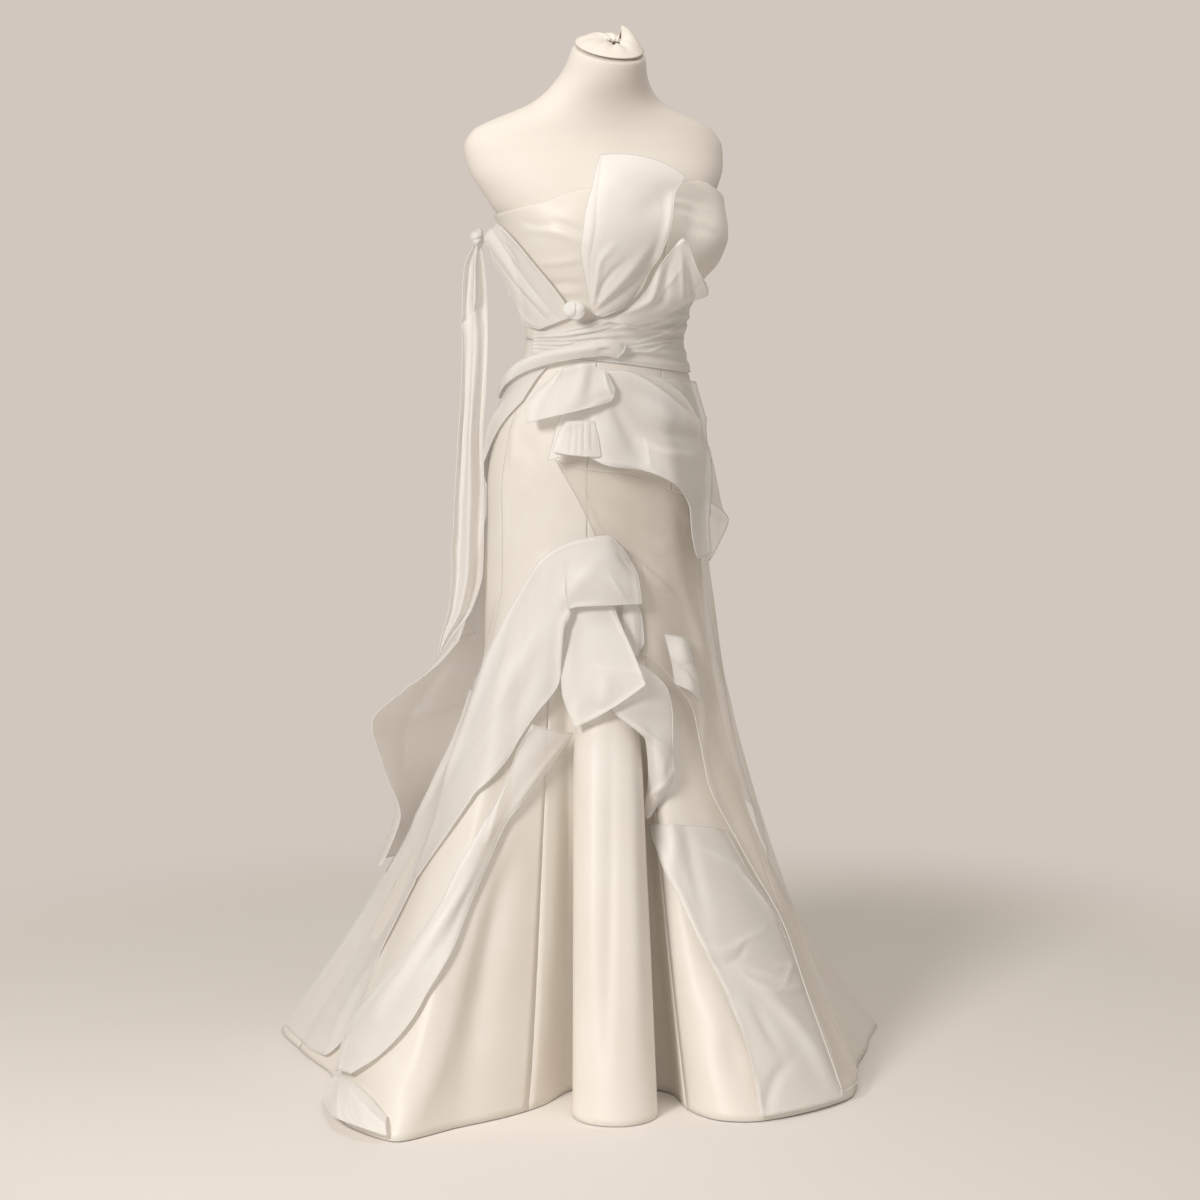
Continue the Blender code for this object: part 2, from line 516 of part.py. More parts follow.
def add_object(name, mesh, material):
    for face in mesh.polygons:
        face.use_smooth = True
    mesh.materials.append(material)
    thing = bpy.data.objects.new(name, mesh)
    parts.objects.link(thing)
    return thing


def grid_mesh(name, place, columns, rows, closed=False):
    """A flat cut of cloth whose points are then carried to their place by place(along, upward)."""
    sheet = bmesh.new()
    bmesh.ops.create_grid(sheet, x_segments=columns, y_segments=rows, size=0.5)
    flat = np.array([vertex.co for vertex in sheet.verts]) + 0.5
    worn = place(flat[:, 0], flat[:, 1])
    for vertex, spot in zip(sheet.verts, worn):
        vertex.co = spot
    if closed:
        bmesh.ops.remove_doubles(sheet, verts=sheet.verts[:], dist=1e-6)
    mesh = bpy.data.meshes.new(name)
    sheet.to_mesh(mesh)
    sheet.free()
    return mesh


def cloth(name, place, columns, rows, wall, material):
    """A sheet of cloth: an open surface given its wall outwards."""
    thing = add_object(name, grid_mesh(name, place, columns, rows), material)
    solidify = thing.modifiers.new("wall", "SOLIDIFY")
    solidify.thickness = wall
    solidify.offset = 1.0
    solidify.use_even_offset = False
    solidify.use_quality_normals = True
    return thing


def satin_panel(name, first, last, bottom, top, rows, fine=False, crowding=1.0):
    """A panel of the gown between two stations, and between two edges given as functions of the station.

    A fine panel has a column more between each two, and crowding draws its rows together at the top.
    """
    stations = [station for station in STATIONS if first <= station <= last]
    columns = (len(stations) - 1) * (2 if fine else 1)

    def place(along, upward):
        station = np.interp(along, np.linspace(0.0, 1.0, len(stations)), stations)
        low = bottom(station)
        height = low + (top(station) - low) * (1 - (1 - upward) ** crowding)
        step = satin(station + 0.5, height) - satin(station - 0.5, height)
        inset = SEAM_GAP / 2 / np.linalg.norm(step, axis=-1)
        station = station + inset * ((along < 0.001) * 1.0 - (along > 0.999) * 1.0)
        return satin(station, height)

    return cloth(name, place, columns, rows, SATIN, duchess_satin)


def rising_sheet(name, table, columns, rows, ripple=None):
    def place(across, upward):
        station, height, out = read_table(table, upward, across)
        lift = ripple(across, upward) if ripple else 0.0
        return gown(station, height, out + lift)

    return cloth(name, place, columns, rows, ORGANZA, silk_organza)


def running_sheet(name, table, columns, rows, ripple=None):
    def place(along, upward):
        station, height, out = read_table(table, along, upward)
        lift = ripple(along, upward) if ripple else 0.0
        return gown(station, height, out + lift)

    return cloth(name, place, columns, rows, ORGANZA, silk_organza)


def hanging_sheet(name, table, columns, rows):
    def place(across, upward):
        return facing(HANGING_BEARING, *read_table(table, upward, across))

    return cloth(name, place, columns, rows, ORGANZA, silk_organza)


def pleats(count, rise):
    """Rounded pleats side by side up a sheet, each one a ridge."""

    def lift(_along, upward):
        return rise * (0.5 - 0.5 * np.cos(2 * math.pi * count * upward))

    return lift


def waist_above(station):
    return WAIST_SEAM + WAIST_GAP / 2 + 0 * station


def waist_below(station):
    return WAIST_SEAM - WAIST_GAP / 2 + 0 * station


def neckline(station):
    return level(NECKLINE, station)


def knee_above(station):
    return level(KNEE_SEAM, station) + KNEE_GAP / 2


def knee_below(station):
    return level(KNEE_SEAM, station) - KNEE_GAP / 2


def floor_level(station):
    return FLOOR_GAP + 0 * station


def make_bodice():
    satin_panel("bodice_front", -ARM_SEAM, CUP_SEAM, waist_above, neckline, 6)
    satin_panel("bodice_cup", CUP_SEAM, ARM_SEAM, waist_above, neckline, 7)
    satin_panel("bodice_back_left", ARM_SEAM, BACK_SEAM, waist_above, neckline, BODICE_BACK_ROWS)
    satin_panel("bodice_back_right", -BACK_SEAM, -ARM_SEAM, waist_above, neckline, BODICE_BACK_ROWS)


def make_skirt():
    def panel(name, first, last):
        satin_panel(name, first, last, knee_above, waist_below, SKIRT_ROWS, crowding=WAIST_CROWDING)

    panel("skirt_front", -FRONT_SEAM, FRONT_SEAM)
    panel("skirt_side_left", FRONT_SEAM, SIDE_SEAM)
    panel("skirt_back_left", SIDE_SEAM, BACK_SEAM)
    panel("skirt_back_right", -BACK_SEAM, -SIDE_SEAM)
    panel("skirt_side_right", -SIDE_SEAM, -FRONT_SEAM)


def make_flare():
    def panel(name, first, last, fine):
        satin_panel(name, first, last, floor_level, knee_below, 6, fine)

    panel("flare_back_right", -BACK_SEAM, FLARE_SEAMS[0], False)
    panel("flare_side_right", FLARE_SEAMS[0], FLARE_SEAMS[1], True)
    panel("flare_front", FLARE_SEAMS[1], FLARE_SEAMS[2], True)
    panel("flare_front_left", FLARE_SEAMS[2], FLARE_SEAMS[3], True)
    panel("flare_side_left", FLARE_SEAMS[3], FLARE_SEAMS[4], False)
    panel("flare_back_left", FLARE_SEAMS[4], BACK_SEAM, False)


def make_tube():
    """A fold with a round front, whose two sides run back to the hollow of the flare behind it."""
    heights = column(TUBE, 0)
    forwards = facing(TUBE_BEARING, 0.0, 0.0, 1.0)
    aside = facing(TUBE_BEARING, 1.0, 0.0, 0.0)

    def place(along, upward):
        height = heights[0] + (heights[-1] - heights[0]) * upward
        radius = smooth(heights, column(TUBE, 2), height)
        axis = satin(TUBE_BEARING, height) @ forwards + smooth(heights, column(TUBE, 1), height)
        turn = 2 * along - 1
        angle = np.radians(TUBE_ARC) * np.clip(turn / TUBE_ARC_SHARE, -1, 1)
        spot = facing(TUBE_BEARING, radius * np.sin(angle), height, axis + radius * np.cos(angle))
        root = gown(TUBE_BEARING + np.sign(turn) * TUBE_ROOT_TURN, height, TUBE_CLEARANCE)
        root[:, 2] = height
        leg = np.clip((abs(turn) - TUBE_ARC_SHARE) / (1 - TUBE_ARC_SHARE), 0, 1)[:, None]
        spot += leg * (root - spot)
        backing = gown(TUBE_BACKING[:, None], height, TUBE_CLEARANCE)
        for point, flare in zip(spot, np.swapaxes(backing, 0, 1)):
            least = np.interp(point @ aside, flare @ aside, flare @ forwards)
            point += forwards * max(0.0, least - point @ forwards)
        return spot

    cloth("front_tube", place, 22, 7, SATIN, duchess_satin)


def make_tail():
    heights = column(TAIL, 0)

    def place(along, upward):
        height = smooth(np.linspace(0, 1, len(TAIL)), heights, upward)
        middle, forward, half, fold = (smooth(heights, column(TAIL, k), height) for k in range(1, 5))
        across = 2 * along - 1
        ridge = fold * (np.cos(1.5 * math.pi * across) + 0.5 * across)
        return facing(HANGING_BEARING, middle + half * across, height, forward + ridge)

    cloth("shoulder_tail", place, 6, 14, ORGANZA, silk_organza)


def make_knot(name, station, height, out, aside, outwards, upwards):
    ball = bmesh.new()
    bmesh.ops.create_uvsphere(ball, u_segments=12, v_segments=8, radius=1.0)
    centre = gown(station, height, out)
    facing = gown(station, height, out + 0.01) - centre
    facing[2] = 0.0
    facing /= np.linalg.norm(facing)
    sideways = np.array([facing[1], -facing[0], 0.0])
    for vertex in ball.verts:
        x, y, z = vertex.co
        wraps = 1.0 + 0.14 * math.cos(3.0 * math.atan2(z, y)) * (1.0 - x * x)
        spot = centre + sideways * aside * x + facing * outwards * y * wraps
        vertex.co = (spot[0], spot[1], spot[2] + upwards * z * wraps)
    mesh = bpy.data.meshes.new(name)
    ball.to_mesh(mesh)
    ball.free()
    add_object(name, mesh, silk_organza)


def make_placket():
    """The strip that laps the back opening, from the neckline to the hip, on the rows of the panels."""
    low = knee_above(BACK_SEAM)
    waist = waist_below(BACK_SEAM)
    skirt = low + (waist - low) * (1 - (1 - np.linspace(0, 1, SKIRT_ROWS + 1)) ** WAIST_CROWDING)
    bodice = np.linspace(waist_above(BACK_SEAM), neckline(BACK_SEAM), BODICE_BACK_ROWS + 1)
    heights = np.concatenate([skirt[PLACKET_FIRST_ROW:-1], bodice])

    def place(along, upward):
        row = np.rint(upward * (len(heights) - 1)).astype(int)
        return gown(BACK_SEAM + PLACKET_HALF_WIDTH * (2 * along - 1), heights[row], PLACKET_OUT)

    cloth("back_placket", place, 2, len(heights) - 1, SATIN, duchess_satin)


def make_form():
    """The torso from its flat underside up to the slanted neck end, closed at both ends."""
    body = [(height, 1.0) for height in np.arange(FORM_BOTTOM + 0.006, 1.33, FORM_BODY_STEP)]
    rings = np.array([*FORM_LOW_RINGS, *body, *FORM_SHOULDER_RINGS, *FORM_END_RINGS])

    def place(along, upward):
        height, share = rings[np.rint(upward * (len(rings) - 1)).astype(int)].T
        edge = figure(360.0 * along - 180.0, height, 0.0, FORM_BUST)
        middle = figure(0.0, height, 0.0, FORM_BUST) / 2 + figure(180.0, height, 0.0, FORM_BUST) / 2
        spot = middle + (edge - middle) * share[:, None]
        slant = NECK_SLANT * np.clip((height - NECK_SLANT_START) / (FORM_TOP - NECK_SLANT_START), 0, 1)
        spot[:, 2] += slant * (spot[:, 1] - middle[:, 1])
        return spot

    mesh = grid_mesh("form_torso", place, FORM_COLUMNS, len(rings) - 1, closed=True)
    add_object("form_torso", mesh, form_jersey)


def make_neck_cover():
    """The gathered end of the jersey cover, drawn in over the neck and twisted up at one side."""

    def place(along, inward):
        angle = 2 * math.pi * along
        radius = NECK_COVER_RADIUS + (NECK_HOLE_RADIUS - NECK_COVER_RADIUS) * inward
        gather = NECK_GATHER_RISE * np.cos(NECK_GATHERS * angle)
        turn = (angle - TUFT_BEARING + math.pi) % (2 * math.pi) - math.pi
        tuft = TUFT_RISE * np.exp(-((turn / TUFT_SPREAD) ** 2))
        x = NECK_MIDDLE[0] + radius * np.sin(angle) + NECK_HOLE_SHIFT * inward
        y = NECK_MIDDLE[1] - radius * np.cos(angle)
        rise = NECK_COVER_GAP + NECK_COVER_RISE * np.sin(0.8 * math.pi * inward) + (gather + tuft) * inward
        return np.stack([x, y, FORM_TOP + rise + NECK_SLANT * (y - NECK_MIDDLE[1])], -1)

    mesh = grid_mesh("form_neck_cover", place, 3 * NECK_GATHERS, 4, closed=True)
    thing = add_object("form_neck_cover", mesh, form_jersey)
    solidify = thing.modifiers.new("wall", "SOLIDIFY")
    solidify.thickness = SATIN
    solidify.offset = 1.0


def turned(name, radius, low, high, segments, material):
    disc = bmesh.new()
    bmesh.ops.create_cone(
        disc, cap_ends=True, segments=segments, radius1=radius, radius2=radius, depth=high - low
    )
    bmesh.ops.translate(disc, verts=disc.verts, vec=(0.0, 0.0, (low + high) / 2))
    mesh = bpy.data.meshes.new(name)
    disc.to_mesh(mesh)
    disc.free()
    return add_object(name, mesh, material)


def make_stand():
    turned("stand_pole", POLE_RADIUS, BASE_HEIGHT + SEAM_GAP, FORM_BOTTOM - SEAM_GAP, 20, stand_paint)
    base = turned("stand_base", BASE_RADIUS, 0.0, BASE_HEIGHT, 32, stand_paint)
    edge = base.modifiers.new("edge", "BEVEL")
    edge.width = BASE_EDGE
    edge.segments = 1
    edge.limit_method = "ANGLE"


def make_drapery():
    rising_sheet("bust_fan", BUST_FAN, 9, 9)
    rising_sheet("bust_point", BUST_POINT, 6, 7)
    running_sheet("shoulder_drape", SHOULDER_DRAPE, 10, 12, pleats(3, 0.004))
    running_sheet("waist_wrap", WAIST_WRAP, 18, 18, pleats(6, 0.0035))
    running_sheet("waist_sash", WAIST_SASH, 12, 5)
    running_sheet("hip_drape_right", HIP_DRAPE_RIGHT, 12, 8)
    rising_sheet("bow_fan", BOW_FAN, 10, 7)
    rising_sheet("bow_loop", BOW_LOOP, 5, 5)
    running_sheet("peplum_flounce", PEPLUM, 15, 7)
    running_sheet("peplum_corner", PEPLUM_CORNER, 9, 5)
    running_sheet("side_overlay", SIDE_OVERLAY, 24, 8)
    running_sheet("knee_arch", KNEE_ARCH, 26, 7)
    hanging_sheet("knee_flap", KNEE_FLAP, 7, 8)
    rising_sheet("knee_tab", KNEE_TAB, 4, 5)
    hanging_sheet("second_flap", SECOND_FLAP, 6, 9)
    rising_sheet("side_fold", SIDE_FOLD, 5, 8)
    rising_sheet("side_cascade", SIDE_CASCADE, 8, 12)
    rising_sheet("hem_strip", HEM_STRIP, 5, 14)
    rising_sheet("back_wing", BACK_WING, 7, 11)
    running_sheet("hem_petals", HEM_PETALS, 10, 5)
    make_knot("side_knot", *SIDE_KNOT)
    make_knot("waist_knot", *WAIST_KNOT)


clear_scene()
parts = bpy.data.collections.new(COLLECTION)
bpy.context.scene.collection.children.link(parts)
duchess_satin = principled("duchess satin", (0.86, 0.80, 0.70), 0.35)
silk_organza = principled("silk organza", (0.88, 0.86, 0.82), 0.45)
form_jersey = principled("form jersey", (0.80, 0.76, 0.70), 0.85)
stand_paint = principled("stand paint", (0.75, 0.72, 0.68), 0.40)
make_bodice()
make_skirt()
make_flare()
make_tube()
make_placket()
make_drapery()
make_tail()
make_form()
make_neck_cover()
make_stand()
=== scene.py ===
# %% [markdown]
# # A wedding dress on a limbless form
#
# The gown is sewn from two silks. Duchess satin is heavy and smooth, and makes the fitted bodice, the
# skirt and the flare with its stiff round folds. Silk organza is thin, crisp and sheer, and is pinched,
# pleated and folded over the satin by hand. The script loads the solids that carry the sizes, and then
# makes each piece of cloth again as a fine thin shell, with its finish.
#
# Metres, +Z up, the front towards -Y. The wearer's right is -X.


import math

import bpy
import numpy as np
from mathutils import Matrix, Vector


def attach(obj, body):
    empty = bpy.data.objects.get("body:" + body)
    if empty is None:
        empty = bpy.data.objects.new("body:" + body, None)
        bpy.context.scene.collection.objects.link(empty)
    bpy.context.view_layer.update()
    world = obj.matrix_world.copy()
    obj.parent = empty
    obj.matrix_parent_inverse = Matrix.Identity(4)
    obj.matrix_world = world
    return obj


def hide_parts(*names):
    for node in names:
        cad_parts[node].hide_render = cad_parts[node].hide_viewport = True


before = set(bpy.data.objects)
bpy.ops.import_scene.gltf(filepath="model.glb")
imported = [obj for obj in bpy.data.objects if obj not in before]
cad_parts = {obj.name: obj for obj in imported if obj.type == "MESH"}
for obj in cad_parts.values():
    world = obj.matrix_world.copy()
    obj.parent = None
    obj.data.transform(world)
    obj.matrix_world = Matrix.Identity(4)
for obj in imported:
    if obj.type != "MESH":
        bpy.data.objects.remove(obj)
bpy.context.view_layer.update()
print("CAD nodes:", len(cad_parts))


# %% Clear the startup things
for startup in ("Cube", "Camera", "Light"):
    thing = bpy.data.objects.get(startup)
    if thing:
        bpy.data.objects.remove(thing, do_unlink=True)
bpy.ops.object.select_all(action="DESELECT")


# %% [markdown]
# ## The camera
#
# A gown is looked at from about the height of a standing person, some five metres away, so that its
# tall shape isn't stretched. A long lens far off would flatten the folds, and a short one close by would
# swell the skirt. The lens is given, and the angle that the frame spans is worked out from it.


# %% Place the camera
CAMERA_PLACE = (-2.034, -4.568, 1.400)
CAMERA_TURN = -24.0
CAMERA_DIP = 8.07
CAMERA_LENS = 101.6
SENSOR = 36.0

bpy.ops.object.camera_add(location=CAMERA_PLACE)
camera = bpy.context.object
camera.name = "view_camera"
camera.rotation_euler = (math.radians(90.0 - CAMERA_DIP), 0.0, math.radians(CAMERA_TURN))
camera.data.lens = CAMERA_LENS
camera.data.sensor_width = SENSOR
bpy.context.scene.camera = camera
print("camera field:", round(2 * math.degrees(math.atan(SENSOR / 2 / CAMERA_LENS)), 1), "degrees")


# %% [markdown]
# ## The floor and the light
#
# A studio hides the line between floor and wall. A curved paper backdrop would do it from the front, but
# it would stand in the way of every view from behind. Here a round pale floor fades out towards its rim
# into a plain world of the backdrop's colour, so the gown can be walked round.


# %% Turn hex colours into the linear values that Blender mixes
def linear(hex_colour):
    """An sRGB colour such as "#F2E9DC" as four linear values."""
    values = [int(hex_colour[place : place + 2], 16) / 255 for place in (1, 3, 5)]
    return (*(v / 12.92 if v <= 0.04045 else ((v + 0.055) / 1.055) ** 2.4 for v in values), 1.0)


print("ivory in linear light:", [round(value, 3) for value in linear("#F2E9DC")])


# %% One small function adds a node with its settings and links
def add_node(material, kind, inputs=None, **settings):
    node = material.node_tree.nodes.new(kind)
    for name, value in settings.items():
        setattr(node, name, value)
    for name, value in (inputs or {}).items():
        if isinstance(value, bpy.types.NodeSocket):
            material.node_tree.links.new(value, node.inputs[name])
        else:
            node.inputs[name].default_value = value
    return node


def new_material(name):
    """An empty node material with its Principled shader: (material, shader)."""
    material = bpy.data.materials.new(name)
    material.use_nodes = True
    return material, material.node_tree.nodes["Principled BSDF"]


# %% A pale studio floor that fades out at its rim
FLOOR_RADIUS = 2.6
FLOOR_SOLID = 0.85
FLOOR_GONE = 1.75

floor_finish, floor_shader = new_material("seamless paper")
floor_shader.inputs["Base Color"].default_value = linear("#F6F1EB")
floor_shader.inputs["Roughness"].default_value = 0.8
coordinates = add_node(floor_finish, "ShaderNodeTexCoord")
reach = add_node(
    floor_finish, "ShaderNodeVectorMath", {0: coordinates.outputs["Object"]}, operation="LENGTH"
)
fade = add_node(
    floor_finish,
    "ShaderNodeMapRange",
    {
        "Value": reach.outputs["Value"],
        "From Min": FLOOR_SOLID,
        "From Max": FLOOR_GONE,
        "To Min": 1.0,
        "To Max": 0.0,
    },
    interpolation_type="SMOOTHERSTEP",
)
floor_finish.node_tree.links.new(fade.outputs["Result"], floor_shader.inputs["Alpha"])

bpy.ops.mesh.primitive_circle_add(vertices=96, radius=FLOOR_RADIUS, fill_type="NGON")
floor = bpy.context.object
floor.name = "studio_floor"
floor.data.materials.append(floor_finish)
print("floor:", FLOOR_RADIUS, "m, fading from", FLOOR_SOLID, "to", FLOOR_GONE)


# %% The world gives the backdrop's colour to the eye, and a dimmer light to the gown
BACKDROP = "#D2C7BE"
WORLD_LIGHT = "#F5ECE1"
WORLD_STRENGTH = 0.36

world = bpy.data.worlds.new("studio")
bpy.context.scene.world = world
world.use_nodes = True
world.node_tree.nodes.clear()
seen = add_node(world, "ShaderNodeBackground", {"Color": linear(BACKDROP), "Strength": 1.0})
lit = add_node(world, "ShaderNodeBackground", {"Color": linear(WORLD_LIGHT), "Strength": WORLD_STRENGTH})
straight = add_node(world, "ShaderNodeLightPath")
choice = add_node(
    world,
    "ShaderNodeMixShader",
    {0: straight.outputs["Is Camera Ray"], 1: lit.outputs[0], 2: seen.outputs[0]},
)
add_node(world, "ShaderNodeOutputWorld", {"Surface": choice.outputs[0]})
bpy.context.scene.view_settings.view_transform = "Standard"


# %% Soft lamps: a large window-like one at the front left, a weak one at the right, one overhead
LAMP_AIM = Vector((0.0, 0.0, 0.75))
# Columns: name, place, size, power, colour.
LAMPS = (
    ("key_lamp", (-3.45, -2.35, 2.7), 1.3, 122.0, "#FFFCF9"),
    ("side_lamp", (3.2, -3.4, 1.8), 2.6, 11.0, "#FFF9F2"),
    ("top_lamp", (0.2, -0.4, 3.6), 2.0, 22.0, "#FFFBF6"),
)


def soft_lamp(name, place, size, power, colour):
    bpy.ops.object.light_add(type="AREA", location=place)
    lamp = bpy.context.object
    lamp.name = name
    lamp.data.shape = "DISK"
    lamp.data.size = size
    lamp.data.energy = power
    lamp.data.color = linear(colour)[:3]
    aim = LAMP_AIM - Vector(place)
    lamp.rotation_euler = aim.to_track_quat("-Z", "Y").to_euler()
    return lamp


for row in LAMPS:
    lamp = soft_lamp(*row)
    print(lamp.name, round((LAMP_AIM - lamp.location).length, 2), "m away,", lamp.data.energy, "W")


# %% [markdown]
# ## The silks
#
# Duchess satin is silk woven so that long warp threads float over the face. The floats lie side by side,
# so the cloth has a broad soft sheen rather than a mirror shine, and no thread can be picked out from a
# step away. Organza is a plain open weave of hard-twisted silk. More than half of what lies behind shows
# through one layer of it, and each layer laid over another makes it whiter. Both finishes read the flat
# cut's own UV map, which is in metres, so the weave turns and folds with the cloth.


# %% Weave: warp and weft threads as fine bump, drawn coarser than the real 0.1 mm threads so that it shows
THREAD = 0.0012
THREAD_RUN = 0.020


def weave_bump(material, strength, depth):
    """Fine uneven threads both ways over the flat cut. Gives the bump's normal."""
    flat = add_node(material, "ShaderNodeTexCoord").outputs["UV"]
    threads = []
    for scale in ((1 / THREAD, 1 / THREAD_RUN, 1.0), (1 / THREAD_RUN, 1 / THREAD, 1.0)):
        run = add_node(material, "ShaderNodeMapping", {"Vector": flat, "Scale": scale})
        threads.append(
            add_node(material, "ShaderNodeTexNoise", {"Vector": run.outputs[0], "Scale": 1.0, "Detail": 2.0})
        )
    both = add_node(
        material, "ShaderNodeMath", {0: threads[0].outputs[0], 1: threads[1].outputs[0]}, operation="ADD"
    )
    return add_node(
        material,
        "ShaderNodeBump",
        {"Height": both.outputs[0], "Strength": strength, "Distance": depth},
    ).outputs["Normal"]


CLOUD_LOW = 0.35
CLOUD_HIGH = 0.65


def cloud(material, size, first, second):
    """A colour that drifts between two over patches of a real size, as silk and its light do."""
    flat = add_node(material, "ShaderNodeTexCoord").outputs["UV"]
    noise = add_node(material, "ShaderNodeTexNoise", {"Vector": flat, "Scale": 1 / size, "Detail": 3.0})
    ramp = add_node(material, "ShaderNodeValToRGB", {"Fac": noise.outputs[0]})
    ramp.color_ramp.elements[0].position = CLOUD_LOW
    ramp.color_ramp.elements[0].color = linear(first)
    ramp.color_ramp.elements[1].position = CLOUD_HIGH
    ramp.color_ramp.elements[1].color = linear(second)
    return ramp.outputs["Color"]


# %% Duchess satin: warm ivory silk, a broad soft sheen along the folds
# The size in metres of the patches over which the satin's colour drifts.
SATIN_CLOUD = 0.16


def duchess_satin_finish():
    material, shader = new_material("ivory duchess satin")
    links = material.node_tree.links
    links.new(cloud(material, SATIN_CLOUD, "#F0E9E0", "#F4EFE7"), shader.inputs["Base Color"])
    links.new(weave_bump(material, strength=0.10, depth=0.0003), shader.inputs["Normal"])
    shader.inputs["Roughness"].default_value = 0.47
    shader.inputs["IOR"].default_value = 1.54
    shader.inputs["Specular IOR Level"].default_value = 0.42
    shader.inputs["Sheen Weight"].default_value = 0.18
    shader.inputs["Sheen Roughness"].default_value = 0.45
    shader.inputs["Sheen Tint"].default_value = linear("#FFF6E8")
    return material


duchess_satin = duchess_satin_finish()
print("made", duchess_satin.name)


# %% Silk organza: cool sheer white. Doubled where it is draped, single over the hip, where a darker, warmer colour is painted shade
# How much of what lies behind a face of the organza it stops, by its alpha. A raised fold stops more.
DOUBLED_STOPS = 0.72
SINGLE_STOPS = 0.38
INNER_FACE_STOPS = 0.10
HEM_STOPS = 0.75
FOLD_STOPS = 0.18
ORGANZA_CLOUD = 0.12


def organza_finish(name, alpha, first, second):
    material, shader = new_material(name)
    links = material.node_tree.links
    links.new(cloud(material, ORGANZA_CLOUD, first, second), shader.inputs["Base Color"])
    links.new(weave_bump(material, strength=0.12, depth=0.0003), shader.inputs["Normal"])
    shader.inputs["Roughness"].default_value = 0.48
    shader.inputs["IOR"].default_value = 1.54
    shader.inputs["Specular IOR Level"].default_value = 0.25
    shader.inputs["Sheen Weight"].default_value = 0.45
    shader.inputs["Sheen Roughness"].default_value = 0.35
    raised = add_node(material, "ShaderNodeAttribute", attribute_name="raised")
    dense = add_node(
        material,
        "ShaderNodeMapRange",
        {"Value": raised.outputs["Fac"], "To Min": alpha, "To Max": min(1.0, alpha + FOLD_STOPS)},
    )
    links.new(dense.outputs["Result"], shader.inputs["Alpha"])
    return material


silk_organza = organza_finish("silk organza", DOUBLED_STOPS, "#FAF5EF", "#FDFAF6")
# One layer lets more satin through. Its darker, warmer colour is painted shade, for the sheets that lie in
# shadow.
shaded_sheer_organza = organza_finish("sheer silk organza, painted shade", SINGLE_STOPS, "#F3EAE0", "#F7F0E8")
organza_inside = organza_finish("silk organza inner face", INNER_FACE_STOPS, "#FAF5EF", "#FDFAF6")
rolled_hem = organza_finish("rolled organza hem", HEM_STOPS, "#FBF9F6", "#FEFDFB")
print("a single layer stops", round(1 - (1 - SINGLE_STOPS) * (1 - INNER_FACE_STOPS), 2), "of the light")


# %% [markdown]
# ## The shape of the gown
#
# A dressmaker fits a gown to a figure with measures taken at each height, and cuts the skirt to a plan of
# the hem on the floor. The same measures stand here as two tables, FIGURE and HEM. Every place on the gown
# is a station, the angle round the figure in degrees, and a height. The station is 0 at the middle of the
# front and grows towards the wearer's left.


# %% The measures
SATIN = 0.0016
SEAM_GAP = 0.0001
WAIST_GAP = 0.0004
KNEE_GAP = 0.0002
EASE = 0.004
FLOOR_GAP = 0.001

# The figure that the form has and the gown is cut to: an ellipse at each height.
# Columns: height, half width, half depth, middle y, middle x.
FIGURE = (
    (0.600, 0.157, 0.140, 0.034, 0.001),
    (0.720, 0.157, 0.140, 0.032, 0.001),
    (0.800, 0.157, 0.128, 0.022, 0.001),
    (0.880, 0.162, 0.121, 0.013, 0.002),
    (0.950, 0.153, 0.112, 0.006, 0.002),
    (1.020, 0.129, 0.100, 0.000, 0.003),
    (1.080, 0.1125, 0.091, -0.003, 0.005),
    (1.130, 0.118, 0.097, -0.007, 0.004),
    (1.190, 0.130, 0.107, -0.011, 0.002),
    (1.240, 0.146, 0.113, -0.009, 0.000),
    (1.290, 0.176, 0.111, 0.001, 0.000),
    (1.330, 0.199, 0.100, 0.012, 0.000),
    (1.360, 0.204, 0.086, 0.020, 0.000),
    (1.385, 0.190, 0.074, 0.022, 0.000),
    (1.405, 0.148, 0.067, 0.020, 0.001),
    (1.420, 0.110, 0.062, 0.015, 0.002),
    (1.440, 0.083, 0.058, 0.006, 0.003),
    (1.470, 0.062, 0.054, -0.010, 0.004),
    (1.500, 0.053, 0.051, -0.022, 0.005),
)

# Rounded mounds laid over the figure. Columns: station, height, width in degrees, spread, rise.
FORM_BUST = ((-38.0, 1.240, 22.0, 0.045, 0.016), (38.0, 1.240, 22.0, 0.045, 0.016))
GOWN_BUST = ((-36.0, 1.235, 26.0, 0.055, 0.024), (44.0, 1.224, 26.0, 0.045, 0.050))

